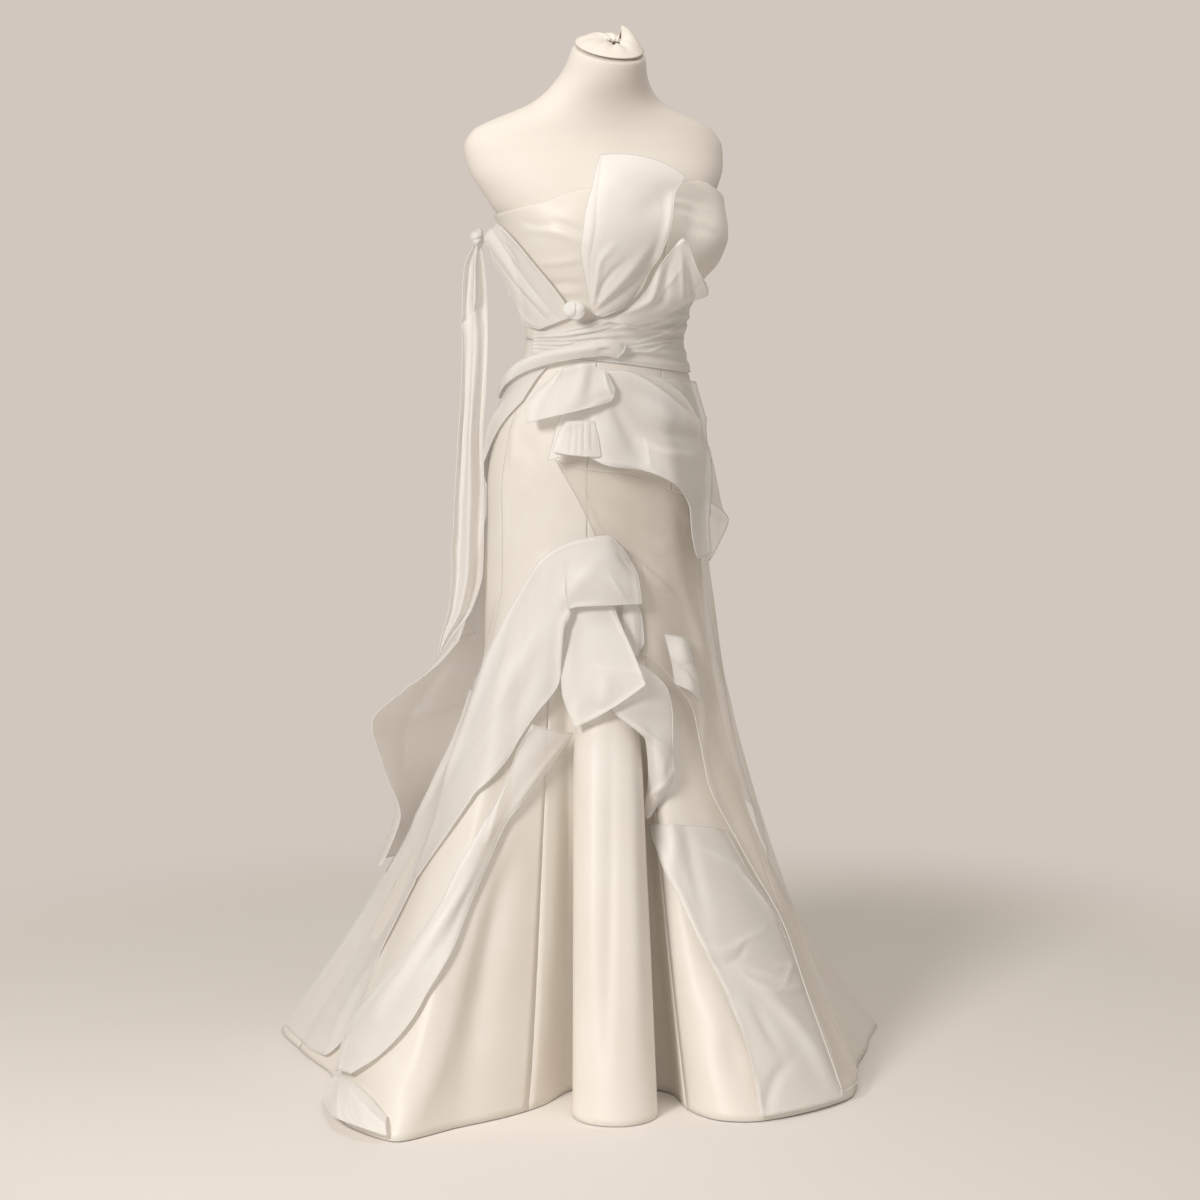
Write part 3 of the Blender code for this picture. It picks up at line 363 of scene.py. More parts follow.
# The plan of the hem on the floor, round the flare.
# Columns: station, hem bearing, hem radius, height where the flare starts, power of its curve.
HEM = (
    (-180.0, -180.0, 0.520, 0.64, 1.30),
    (-150.0, -152.0, 0.510, 0.63, 1.30),
    (-128.0, -131.0, 0.513, 0.62, 1.38),
    (-112.0, -113.0, 0.452, 0.62, 1.38),
    (-98.0, -96.0, 0.420, 0.64, 1.30),
    (-84.0, -80.0, 0.475, 0.70, 1.25),
    (-70.0, -64.0, 0.535, 0.74, 1.20),
    (-60.0, -55.5, 0.550, 0.76, 1.20),
    (-52.0, -50.5, 0.450, 0.78, 1.20),
    (-45.0, -44.5, 0.370, 0.79, 1.25),
    (-39.0, -39.5, 0.300, 0.79, 1.30),
    (-34.0, -36.5, 0.232, 0.79, 1.40),
    (-27.0, -31.0, 0.208, 0.79, 1.40),
    (-15.0, -16.0, 0.212, 0.78, 1.40),
    (-4.0, -3.0, 0.228, 0.78, 1.40),
    (1.0, 0.5, 0.262, 0.78, 1.45),
    (6.0, -2.0, 0.335, 0.78, 1.50),
    (12.0, 0.0, 0.398, 0.78, 1.60),
    (21.0, 8.0, 0.437, 0.78, 1.75),
    (31.0, 19.0, 0.443, 0.78, 1.80),
    (41.0, 29.0, 0.445, 0.78, 1.85),
    (51.0, 41.0, 0.415, 0.84, 1.85),
    (62.0, 54.0, 0.394, 0.88, 2.25),
    (76.0, 71.0, 0.414, 0.90, 2.45),
    (90.0, 85.0, 0.455, 0.90, 2.45),
    (110.0, 106.0, 0.472, 0.88, 2.30),
    (130.0, 129.0, 0.475, 0.74, 1.50),
    (155.0, 155.0, 0.500, 0.68, 1.35),
)


# %% Read a smooth curve through a table's rows
def smooth(xs, ys, x):
    """Reads a curve through the points (xs, ys) that never overshoots them."""
    xs = np.asarray(xs, float)
    ys = np.asarray(ys, float)
    step = np.diff(xs)
    rise = np.diff(ys) / step
    same_way = rise[:-1] * rise[1:] > 0
    safe = np.where(same_way, rise[:-1] + rise[1:], 1.0)
    slope = np.zeros(len(xs))
    slope[1:-1] = np.where(same_way, 2 * rise[:-1] * rise[1:] / safe, 0.0)
    slope[0] = rise[0]
    slope[-1] = rise[-1]
    x = np.clip(x, xs[0], xs[-1])
    i = np.clip(np.searchsorted(xs, x) - 1, 0, len(step) - 1)
    t = (x - xs[i]) / step[i]
    lift = ys[i] + t * t * (3 - 2 * t) * (ys[i + 1] - ys[i])
    return lift + step[i] * t * (1 - t) * ((1 - t) * slope[i] - t * slope[i + 1])


def column(table, index):
    return [row[index] for row in table]


def wrapped(table, index):
    """A column of a table that goes once round, carried on past both ends."""
    turn = 360.0 if index < 2 else 0.0
    values = column(table, index)
    return [v - turn for v in values[-3:]] + values + [v + turn for v in values[:3]]


def around(table, index, station):
    """Reads a column of a table that goes once round, at any station."""
    station = (np.asarray(station, float) + 180.0) % 360.0 - 180.0
    return smooth(wrapped(table, 0), wrapped(table, index), station)


# %% The figure and the satin round it
def mounds(table, station, height):
    rise = 0.0
    for middle, level, width, spread, most in table:
        aside = (station - middle + 180.0) % 360.0 - 180.0
        rise = rise + most * np.exp(-((aside / width) ** 2 + ((height - level) / spread) ** 2) / 2)
    return rise


def figure(station, height, grow, bust):
    """A point on the figure, grown outwards all round."""
    heights = column(FIGURE, 0)
    angle = np.radians(station)
    swell = grow + mounds(bust, station, height)
    half_width = smooth(heights, column(FIGURE, 1), height) + swell
    half_depth = smooth(heights, column(FIGURE, 2), height) + swell
    x = smooth(heights, column(FIGURE, 4), height) + half_width * np.sin(angle)
    y = smooth(heights, column(FIGURE, 3), height) - half_depth * np.cos(angle)
    return np.stack([x, y, height + 0 * x], -1)


def satin(station, height):
    """A point on the gown's own surface, from the neckline down to the hem."""
    station, height = np.broadcast_arrays(np.asarray(station, float), np.asarray(height, float))
    fitted = figure(station, height, EASE, GOWN_BUST)
    turn = np.floor((station + 180.0) / 360.0) * 360.0
    bearing = np.radians(around(HEM, 1, station) + turn)
    radius = around(HEM, 2, station)
    start = around(HEM, 3, station)
    share = np.clip((start - height) / start, 0.0, 1.0) ** around(HEM, 4, station)
    hem = np.stack([radius * np.sin(bearing), -radius * np.cos(bearing), height], -1)
    return fitted + (hem - fitted) * share[..., None]


def gown(station, height, out=0.0):
    """A point that stands out from the gown's surface, along its normal."""
    station, height, out = np.broadcast_arrays(
        np.asarray(station, float), np.asarray(height, float), np.asarray(out, float)
    )
    place = satin(station, height)
    turn = 0.5
    rise = 0.002
    along = satin(station + turn, height) - satin(station - turn, height)
    up = satin(station, height + rise) - satin(station, height - rise)
    normal = np.cross(along, up)
    normal /= np.linalg.norm(normal, axis=-1, keepdims=True)
    return place + normal * out[..., None]


# %% The gown's edges and the seams between its panels
# The gown's edges. Columns: station, height.
NECKLINE = (
    (-180.0, 1.205), (-150.0, 1.212), (-120.0, 1.238), (-100.0, 1.262), (-73.0, 1.270), (-47.0, 1.281),
    (-18.0, 1.304), (5.0, 1.302), (23.0, 1.309), (36.0, 1.312), (48.0, 1.300), (70.0, 1.276),
    (95.0, 1.258), (120.0, 1.236), (150.0, 1.212),
)
KNEE_SEAM = (
    (-180.0, 0.540), (-150.0, 0.540), (-120.0, 0.540), (-98.0, 0.552), (-76.0, 0.578), (-64.0, 0.662),
    (-50.0, 0.748), (-36.0, 0.782), (-21.0, 0.790), (-5.0, 0.780), (15.0, 0.740), (40.0, 0.680),
    (70.0, 0.620), (100.0, 0.580), (140.0, 0.550),
)
WAIST_SEAM = 1.082

# The solids' panels have their points on these stations. The edges and seams run straight from each one to
# the next here too, so that the cloth ends where the solids end.
STATIONS = (
    [-180.0 + 11.0 * step for step in range(6)]
    + [-114.0 + 6.0 * step for step in range(39)]
    + [125.0 + 11.0 * step for step in range(6)]
)
FRONT_SEAM = 24.0
SIDE_SEAM = 78.0
ARM_SEAM = 90.0
BACK_SEAM = 180.0
CUP_SEAM = 12.0
FLARE_SEAMS = (-114.0, -42.0, 6.0, 48.0, 114.0)


def level(edge, station):
    """The height of one of the gown's edges, which runs straight from each panel station to the next."""
    stations = column(edge, 0)
    heights = column(edge, 1)
    stations = [s - 360.0 for s in stations[-3:]] + stations + [s + 360.0 for s in stations[:3]]
    heights = heights[-3:] + heights + heights[:3]
    return np.interp(station, STATIONS, smooth(stations, heights, STATIONS))


# %% [markdown]
# ## Folds
#
# A dressmaker steps back, looks at the gown from one side and pins a fold where the eye wants it. The folds
# here are given one by one. An eye stands five metres off at some bearing, and looks at the gown past a
# board marked in 1200 steps across and down. A fold is a line of marks on that board, with its width at
# both ends in marks, and its lift at the start, half way and at the end. A lift is written in millimetres,
# and all folds but the knots' are then made deeper by one factor, FOLD_DEPTH. Every place of the cloth that
# faces the eye is lifted by the folds that cross it there. Three cross sections are enough. A soft one is
# a smooth swell, a sharp one has a pressed edge, and a lap is steep on one side and runs out slowly on the
# other, as a pleat that lies over the next. A lift below zero is a valley.


# %% See the cloth against the board of marks
BOARD_MARKS = 1200.0
EYE_DISTANCE = 5.0


def sight(points, bearing):
    """Each point's marks across and down the board, and the way from it to the eye."""
    turn = math.radians(bearing)
    dip = math.radians(CAMERA_DIP)
    eye = np.array([EYE_DISTANCE * math.sin(turn), -EYE_DISTANCE * math.cos(turn), CAMERA_PLACE[2]])
    look = np.array([-math.sin(turn) * math.cos(dip), math.cos(turn) * math.cos(dip), -math.sin(dip)])
    right = np.array([math.cos(turn), math.sin(turn), 0.0])
    above = np.cross(right, look)
    gap = points - eye
    scale = BOARD_MARKS * CAMERA_LENS / SENSOR / (gap @ look)
    marks = np.stack([gap @ right * scale, -(gap @ above) * scale], -1) + BOARD_MARKS / 2
    return marks, -gap / np.linalg.norm(gap, axis=1, keepdims=True)


print("marks of the front hem:", np.round(sight(np.array([[0.0, 0.0, 0.0]]), CAMERA_TURN)[0][0]))


# %% The three cross sections, by the distance to the side of the line
LAP_STEEPNESS = 3


def soft(side, width):
    return np.exp(-((side / width) ** 2))


def sharp(side, width):
    return np.exp(-np.abs(side) / width)


def lap(side, width):
    steep = LAP_STEEPNESS * side / width
    return np.where(side > 0, np.exp(-side / width), np.exp(-(steep**2)))


# %% Lift the cloth along a fold
SECTIONS = {"soft": soft, "sharp": sharp, "lap": lap}
LINE_POINTS = 36
MILLIMETRE = 0.001
# Cloth takes the whole of a fold where it faces the eye by more than one part in this many.
FACING_PARTS = 5


def across_three(first, middle, last, share):
    """A curve through three values, at 0, a half and 1."""
    ends = first * (1 - share) * (1 - 2 * share) + last * share * (2 * share - 1)
    return ends + middle * 4 * share * (1 - share)


def fold_lift(marks, row):
    """Row: cross section, width at both ends, lift at three places, then the marks of the line."""
    section, first_width, last_width, first, middle, last = row[:6]
    corners = np.array(row[6:], float).reshape(-1, 2)
    gone = np.concatenate([[0.0], np.cumsum(np.hypot(*np.diff(corners, axis=0).T))])
    share = np.linspace(0.0, 1.0, LINE_POINTS)
    path = np.stack([smooth(gone, corners[:, k], share * gone[-1]) for k in range(2)], -1)
    way = np.gradient(path, axis=0)
    way /= np.linalg.norm(way, axis=1, keepdims=True)
    nearest = np.argmin(((marks[:, None] - path) ** 2).sum(-1), axis=1)
    gap = marks - path[nearest]
    way = way[nearest]
    on = (gap * way).sum(1)
    side = way[:, 0] * gap[:, 1] - way[:, 1] * gap[:, 0]
    share = share[nearest]
    beyond = np.where(share == 0, np.minimum(on, 0), 0) + np.where(share == 1, np.maximum(on, 0), 0)
    width = first_width + (last_width - first_width) * share
    lift = MILLIMETRE * across_three(first, middle, last, share)
    return lift * SECTIONS[section](side, width) * np.exp(-((beyond / width) ** 2))


def folded(points, normals, sights):
    """How far the folds seen from each bearing lift the cloth. Cloth turned away from an eye stays."""
    lift = np.zeros(len(points))
    for bearing, rows in sights:
        marks, to_eye = sight(points, bearing)
        towards = np.clip(FACING_PARTS * (normals * to_eye).sum(1), 0, 1)
        for row in rows:
            lift += towards * fold_lift(marks, row)
    return lift


# %% [markdown]
# ## Cutting and carrying cloth
#
# Cloth begins flat. Each piece starts as Blender's grid primitive, the flat cut, and its points are then
# carried to where the cloth is worn. The grid keeps its UV map, now scaled to the cut's real size. A
# sculpted or simulated cloth could do the same, but these folds are set by hand in the real gown and
# have to stay where the dressmaker put them. Last, Solidify gives the sheet its thin wall.


# %% Make a flat cut
def flat_cut(name, columns, rows):
    bpy.ops.object.select_all(action="DESELECT")
    bpy.ops.mesh.primitive_grid_add(x_subdivisions=columns, y_subdivisions=rows, size=1.0)
    piece = bpy.context.object
    piece.name = name
    piece.data.name = name
    return piece


def flat_places(piece):
    """Each point's share of the way along and up the flat cut."""
    flat = np.empty(len(piece.data.vertices) * 3)
    piece.data.vertices.foreach_get("co", flat)
    flat = flat.reshape(-1, 3) + 0.5
    return flat[:, 0], flat[:, 1]


# %% Carry it to its place, and scale its UV map to metres
STEP = 0.004
LEAST_LENGTH = 1e-12
# A fold lifted by this much counts as fully raised.
RAISED_FULL = 0.005
# The cloth's folds stand this much higher than their rows say, so that they read under the soft lamps.
FOLD_DEPTH = 1.5


def outward(place, along, up):
    """The cloth's unit normal at some places of it."""
    run = place(along + STEP, up) - place(along - STEP, up)
    rise = place(along, up + STEP) - place(along, up - STEP)
    normal = np.cross(run, rise)
    return normal / np.maximum(np.linalg.norm(normal, axis=-1, keepdims=True), LEAST_LENGTH)


def carry(piece, place, sights=(), extra=None):
    """Puts the flat cut's points where it is worn, with its folds. Keeps how far each point is raised."""
    along, up = flat_places(piece)
    worn = place(along, up)
    normals = outward(place, along, up)
    lift = FOLD_DEPTH * folded(worn, normals, sights)
    if extra:
        lift = lift + extra(along, up)
    worn = worn + normals * lift[:, None]
    piece.data.vertices.foreach_set("co", worn.ravel())
    raised = piece.data.attributes.new("raised", "FLOAT", "POINT")
    raised.data.foreach_set("value", np.clip(lift / RAISED_FULL, 0.0, 1.0).astype(np.float32))
    piece.data.update()
    return worn


def measure(worn, columns, rows):
    """The worn sheet's greatest width and length along its threads, and its area."""
    grid = worn.reshape(rows + 1, columns + 1, 3)
    width = np.linalg.norm(np.diff(grid, axis=1), axis=-1).sum(1).max()
    length = np.linalg.norm(np.diff(grid, axis=0), axis=-1).sum(0).max()
    crossed = np.cross(grid[1:, 1:] - grid[:-1, :-1], grid[1:, :-1] - grid[:-1, 1:])
    area = np.linalg.norm(crossed, axis=-1).sum() / 2
    return width, length, area


def scale_uv(piece, width, length):
    layer = piece.data.uv_layers[0].data
    flat = np.empty(len(layer) * 2)
    layer.foreach_get("uv", flat)
    flat = flat.reshape(-1, 2) * (width, length)
    layer.foreach_set("uv", flat.ravel())


# %% Give it a wall, and roll its hems
def thin_wall(piece, wall, inside_offset=0):
    """Solidify inwards from the face, so that the face stays where it was carried."""
    bpy.context.view_layer.objects.active = piece
    bpy.ops.object.shade_smooth()
    solidify = piece.modifiers.new("wall", "SOLIDIFY")
    solidify.thickness = wall
    solidify.offset = -1.0
    solidify.use_quality_normals = True
    solidify.material_offset = inside_offset
    bpy.ops.object.modifier_apply(modifier=solidify.name)


def roll_hem(piece, worn, columns, rows, radius, finish):
    """A fine roll of cloth all round a sheet's edge, as a curve with a round bevel joined to the sheet."""
    grid = worn.reshape(rows + 1, columns + 1, 3)
    edge = np.concatenate([grid[0, :-1], grid[:-1, -1], grid[-1, :0:-1], grid[:0:-1, 0]])
    line = bpy.data.curves.new("hem", "CURVE")
    line.dimensions = "3D"
    line.bevel_depth = radius
    line.bevel_resolution = 1
    spline = line.splines.new("POLY")
    spline.points.add(len(edge) - 1)
    spline.points.foreach_set("co", np.c_[edge, np.ones(len(edge))].ravel())
    spline.use_cyclic_u = True
    hem = bpy.data.objects.new("hem", line)
    bpy.context.scene.collection.objects.link(hem)
    bpy.ops.object.select_all(action="DESELECT")
    hem.select_set(True)
    bpy.context.view_layer.objects.active = hem
    bpy.ops.object.convert(target="MESH")
    hem = bpy.context.object
    hem.data.materials.append(finish)
    bpy.ops.object.shade_smooth()
    piece.select_set(True)
    bpy.context.view_layer.objects.active = piece
    bpy.ops.object.join()


# %% [markdown]
# ## The satin gown
#
# The bodice has a front and a deep cup at the wearer's left, the skirt has its panels below the waist
# seam, and the flare has the panels that make its stiff folds. Neighbours end at the same station or along
# the same edge, so that they meet at their seams, and one set of creases runs over all of them.


# %% Folds of the satin, as seen from the front at the right, from the left, the back and the right
SATIN_SIGHTS = [
    (CAMERA_TURN, [
        ("soft", 14, 12, 0.5, 2, 0.8, 560, 205, 575, 212, 590, 224),
        ("sharp", 3, 3, -0.5, -1.8, -0.6, 522, 220, 536, 226, 552, 227),
        ("soft", 4, 5, 0.8, 2.2, 0.8, 524, 229, 542, 230, 562, 234, 586, 245),
        ("soft", 4, 3, -0.8, -1.8, -0.8, 556, 222, 572, 228, 586, 235),
        ("soft", 3, 4, 0.5, 1.6, 0.5, 538, 264, 560, 262, 584, 258),
        ("soft", 4, 3, -0.5, -1.5, -0.5, 545, 285, 565, 284, 584, 285),
        ("soft", 2.5, 2.5, 0.3, 1.1, 0.3, 546, 293, 584, 293),
        ("sharp", 2.2, 2, -1.6, -2.2, -0.6, 671, 196, 688, 199, 704, 206),
        ("soft", 3, 3, 1.2, 2, 0.6, 673, 201, 690, 205, 706, 212),
        ("sharp", 2.2, 2, -1.6, -2.4, -0.8, 676, 207, 694, 214, 712, 225),
        ("soft", 3, 3, 1.2, 2, 0.8, 680, 213, 696, 219, 712, 229),
        ("soft", 5, 4, -0.4, -1.4, -0.5, 684, 226, 700, 229, 716, 233),
        ("soft", 4, 3, 1.4, 1.8, 0.5, 512, 462, 514, 432, 522, 414),
        ("soft", 9, 12, 0.5, 2, 0.3, 504, 470, 501, 515, 500, 562),
        ("sharp", 3, 3, 0.5, 1.4, 0.3, 520, 485, 530, 494, 541, 506),
        ("soft", 9, 9, -0.6, -1.8, -0.6, 528, 436, 529, 458),
        ("soft", 9, 8, 1.5, 4.5, 2.5, 513, 828, 490, 880, 466, 958, 440, 1056, 414, 1118),
        ("soft", 9, 14, -1.2, -5, -2.5, 507, 868, 492, 930, 480, 1000, 466, 1100),
        ("soft", 8, 13, 0.4, 3, 1.5, 566, 745, 553, 900, 545, 1000, 538, 1075),
        ("soft", 8, 12, -0.4, -2.5, -1.2, 590, 760, 584, 900, 580, 1060),
        ("sharp", 5, 4, 0.2, -2, -0.4, 440, 976, 448, 990, 457, 1012),
        ("sharp", 4, 3, 0.2, 1.8, 0.4, 416, 1056, 425, 1070, 433, 1088),
        ("soft", 14, 12, 0.8, 3, 1.2, 384, 1048, 392, 1085, 395, 1114),
        ("soft", 9, 8, -0.8, -2.6, -1, 425, 1040, 414, 1080, 402, 1120),
        ("soft", 12, 10, 0.8, 3, 1, 708, 996, 716, 1020, 724, 1046),
        ("sharp", 4, 4, 0.4, 1.8, 0.6, 729, 1008, 734, 1024, 741, 1042),
        ("soft", 8, 8, -0.6, -2.8, -1, 727, 1040, 734, 1060, 741, 1080),
        ("soft", 8, 10, -0.8, -3, -1.5, 870, 985, 876, 1030, 880, 1075),
    ]),
    (66.0, [
        ("soft", 8, 9, 0.4, 2, 0.6, 560, 262, 600, 272, 650, 262),
        ("soft", 7, 8, -0.4, -1.6, -0.5, 570, 296, 612, 302, 640, 296),
        ("soft", 10, 16, 0.8, 3, 1, 570, 410, 600, 450, 648, 470),
        ("soft", 12, 18, 1, 4.2, 2, 566, 716, 540, 880, 498, 1056),
        ("soft", 11, 17, -1, -4, -1.8, 606, 700, 628, 880, 640, 1060),
        ("soft", 12, 18, 1, 4.4, 2, 664, 724, 722, 872, 790, 1030),
        ("sharp", 4, 4, 0.3, 1.8, 0.5, 690, 930, 724, 948, 752, 940),
        ("soft", 10, 14, -0.8, -3.4, -1.4, 760, 900, 800, 970, 836, 1036),
    ]),
    (156.0, [
        ("soft", 5, 5, 0.3, 1.5, 0.4, 528, 246, 572, 258, 606, 250),
        ("soft", 5, 5, -0.3, -1.3, -0.4, 610, 286, 650, 292, 676, 280),
        ("soft", 4, 4, 0.3, 1.2, 0.3, 540, 300, 580, 306, 612, 300),
        ("sharp", 4, 4, 0.3, 1.4, 0.3, 540, 452, 586, 468, 640, 460),
        ("soft", 9, 13, 0.4, 2.2, 0.6, 556, 430, 546, 520, 548, 618),
        ("soft", 9, 13, -0.4, -2, -0.6, 646, 440, 654, 540, 648, 640),
        ("soft", 12, 19, 1, 4.8, 2.2, 566, 706, 522, 860, 462, 1040),
        ("soft", 11, 18, -1, -4.6, -2, 536, 730, 470, 890, 394, 1040),
        ("soft", 12, 20, 1, 4.4, 2, 642, 694, 688, 862, 752, 1046),
        ("soft", 10, 17, -1, -4.2, -1.8, 612, 716, 630, 880, 646, 1060),
        ("soft", 11, 18, -0.8, -4, -1.8, 700, 760, 764, 890, 834, 1020),
        ("sharp", 4, 4, 0.3, 2, 0.6, 480, 940, 510, 958, 548, 950),
        ("sharp", 4, 4, 0.3, 1.8, 0.5, 700, 980, 734, 990, 762, 976),
    ]),
    (-114.0, [
        ("soft", 4, 5, 0.3, 1.5, 0.4, 566, 256, 604, 268, 640, 262),
        ("soft", 4, 4, -0.3, -1.3, -0.4, 560, 296, 600, 304, 632, 300),
        ("soft", 9, 12, 0.4, 2.2, 0.5, 590, 430, 600, 520, 596, 610),
        ("soft", 12, 18, 1, 4.4, 2, 644, 716, 684, 880, 738, 1044),
        ("soft", 11, 18, -1, -4.4, -2, 596, 704, 574, 880, 548, 1058),
        ("soft", 12, 18, 1, 4.2, 2, 548, 736, 486, 894, 430, 1034),
        ("sharp", 4, 4, 0.3, 1.8, 0.5, 560, 920, 590, 936, 622, 930),
    ]),
]
TUBE_SIGHTS = [
    (CAMERA_TURN, [
        ("soft", 8, 10, 0.6, 2.4, 1, 592, 716, 590, 880, 586, 1040),
        ("soft", 6, 8, -0.5, -2, -0.8, 612, 730, 610, 900, 606, 1060),
        ("soft", 7, 9, 0.5, 2.4, 0.8, 632, 740, 634, 900, 638, 1070),
        ("soft", 6, 8, -0.6, -2.4, -1, 654, 800, 662, 930, 672, 1070),
        ("sharp", 4, 4, 0.3, 1.6, 0.4, 600, 868, 618, 880, 640, 876),
    ]),
]
print("folds in the satin:", sum(len(rows) for bearing, rows in SATIN_SIGHTS + TUBE_SIGHTS))


# %% Cut a panel between two stations
SATIN_WALL = 0.0006
# A panel has a column of points about every so many degrees. Its two outermost columns stand back from
# the seams, and are known by how near they lie to the panel's sides, as a share of its width.
COLUMN_TURN = 1.2
SEAM_EDGE = 0.001
# Every piece that is made: its object, slot, greatest width and length, and area.
MADE = {}


def satin_piece(node, place, columns, rows, sights):
    """Cuts a piece of satin, carries it to its place and gives it its wall."""
    piece = flat_cut(node + "_cloth", columns, rows)
    width, length, area = measure(carry(piece, place, sights), columns, rows)
    scale_uv(piece, width, length)
    piece.data.materials.append(duchess_satin)
    thin_wall(piece, SATIN_WALL)
    MADE[node] = (piece, "duchess_satin", width, length, area)


def satin_panel(node, first, last, bottom, top, rows):

    def place(along, up):
        station = first + (last - first) * along
        low = bottom(station)
        height = low + (top(station) - low) * up
        degree = np.linalg.norm(satin(station + 0.5, height) - satin(station - 0.5, height), axis=-1)
        side = (along < SEAM_EDGE) * 1.0 - (along > 1 - SEAM_EDGE) * 1.0
        return gown(station + SEAM_GAP / 2 / degree * side, height, SATIN)

    satin_piece(node, place, round((last - first) / COLUMN_TURN), rows, SATIN_SIGHTS)


# %% Edges between the panels
def waist_above(station):
    return WAIST_SEAM + WAIST_GAP / 2 + 0 * station


def waist_below(station):
    return WAIST_SEAM - WAIST_GAP / 2 + 0 * station


def neckline(station):
    return level(NECKLINE, station)


def knee_above(station):
    return level(KNEE_SEAM, station) + KNEE_GAP / 2


def knee_below(station):
    return level(KNEE_SEAM, station) - KNEE_GAP / 2


def floor_level(station):
    return FLOOR_GAP + 0 * station


# %% Sew the bodice, the skirt and the flare
BODICE_ROWS = 56
SKIRT_ROWS = 56
FLARE_ROWS = 68

# Columns: node, first and last station, lower and upper edge, rows of points.
PANELS = (
    ("bodice_front", -ARM_SEAM, CUP_SEAM, waist_above, neckline, BODICE_ROWS),
    ("bodice_cup", CUP_SEAM, ARM_SEAM, waist_above, neckline, BODICE_ROWS),
    ("bodice_back_left", ARM_SEAM, BACK_SEAM, waist_above, neckline, BODICE_ROWS // 2),
    ("bodice_back_right", -BACK_SEAM, -ARM_SEAM, waist_above, neckline, BODICE_ROWS // 2),
    ("skirt_front", -FRONT_SEAM, FRONT_SEAM, knee_above, waist_below, SKIRT_ROWS),
    ("skirt_side_left", FRONT_SEAM, SIDE_SEAM, knee_above, waist_below, SKIRT_ROWS),
    ("skirt_back_left", SIDE_SEAM, BACK_SEAM, knee_above, waist_below, SKIRT_ROWS),
    ("skirt_back_right", -BACK_SEAM, -SIDE_SEAM, knee_above, waist_below, SKIRT_ROWS),
    ("skirt_side_right", -SIDE_SEAM, -FRONT_SEAM, knee_above, waist_below, SKIRT_ROWS),
    ("flare_back_right", -BACK_SEAM, FLARE_SEAMS[0], floor_level, knee_below, FLARE_ROWS),
    ("flare_side_right", FLARE_SEAMS[0], FLARE_SEAMS[1], floor_level, knee_below, FLARE_ROWS),
    ("flare_front", FLARE_SEAMS[1], FLARE_SEAMS[2], floor_level, knee_below, FLARE_ROWS),
    ("flare_front_left", FLARE_SEAMS[2], FLARE_SEAMS[3], floor_level, knee_below, FLARE_ROWS),
    ("flare_side_left", FLARE_SEAMS[3], FLARE_SEAMS[4], floor_level, knee_below, FLARE_ROWS),
    ("flare_back_left", FLARE_SEAMS[4], BACK_SEAM, floor_level, knee_below, FLARE_ROWS),
)

for panel in PANELS:
    satin_panel(*panel)


# %% The organ-pipe fold: a round front whose two sides run back to the hollow behind it
# The pieces that hang free, facing forwards to the right. A hanging table has a row for each level, from
# the lowest up, and its columns are the distance aside from the axis, the height and the distance
# forwards at the left edge, then in the middle, then at the right edge.
HANGING_BEARING = -24.0


def facing(bearing, aside, height, forward):
    """A point given by its distances aside and forwards in a frame turned to a bearing."""
    turn = math.radians(bearing)
    aside, height, forward = np.broadcast_arrays(aside, height, forward)
    x = aside * math.cos(turn) + forward * math.sin(turn)
    y = aside * math.sin(turn) - forward * math.cos(turn)
    return np.stack([x, y, height], -1).astype(float)

# The organ-pipe fold at the front. Columns: height, reach of its round axis beyond the flare, radius.
TUBE_BEARING = -20.4
TUBE = (
    (0.001, 0.130, 0.0590),
    (0.200, 0.098, 0.0545),
    (0.350, 0.066, 0.0510),
    (0.480, 0.034, 0.0480),
    (0.560, 0.010, 0.0400),
)
TUBE_ARC = 112.0
TUBE_ARC_SHARE = 0.72
TUBE_ROOT_TURN = 7.0
TUBE_CLEARANCE = 0.0042
# Stations of the flare that the fold has to stay in front of.
TUBE_BACKING = np.arange(-40.0, 1.0, 2.0)
TUBE_COLUMNS = 96
TUBE_ROWS = 60


def pipe_fold():
    heights = column(TUBE, 0)
    forwards = facing(TUBE_BEARING, 0.0, 0.0, 1.0)
    aside = facing(TUBE_BEARING, 1.0, 0.0, 0.0)

    def place(along, up):
        height = heights[0] + (heights[-1] - heights[0]) * np.clip(up, 0, 1)
        radius = smooth(heights, column(TUBE, 2), height) + SATIN
        axis = satin(TUBE_BEARING, height) @ forwards + smooth(heights, column(TUBE, 1), height)
        turn = 2 * along - 1
        angle = np.radians(TUBE_ARC) * np.clip(turn / TUBE_ARC_SHARE, -1, 1)
        spot = facing(TUBE_BEARING, radius * np.sin(angle), height, axis + radius * np.cos(angle))
        root = gown(TUBE_BEARING + np.sign(turn) * TUBE_ROOT_TURN, height, TUBE_CLEARANCE + SATIN)
        root[:, 2] = height
        leg = np.clip((abs(turn) - TUBE_ARC_SHARE) / (1 - TUBE_ARC_SHARE), 0, 1)[:, None]
        spot += leg * (root - spot)
        backing = gown(TUBE_BACKING[:, None], height, TUBE_CLEARANCE)
        for point, flare in zip(spot, np.swapaxes(backing, 0, 1)):
            least = np.interp(point @ aside, flare @ aside, flare @ forwards)
            point += forwards * max(0.0, least - point @ forwards)
        return spot

    satin_piece("front_tube", place, TUBE_COLUMNS, TUBE_ROWS, TUBE_SIGHTS)


pipe_fold()


# %% The lapped strip over the back opening
# The lapped strip down the middle of the back. Its half width is in degrees of station.
PLACKET_HALF_WIDTH = 4.0
PLACKET_OUT = 0.0024
PLACKET_LOW = 0.70
PLACKET_COLUMNS = 10
PLACKET_ROWS = 90


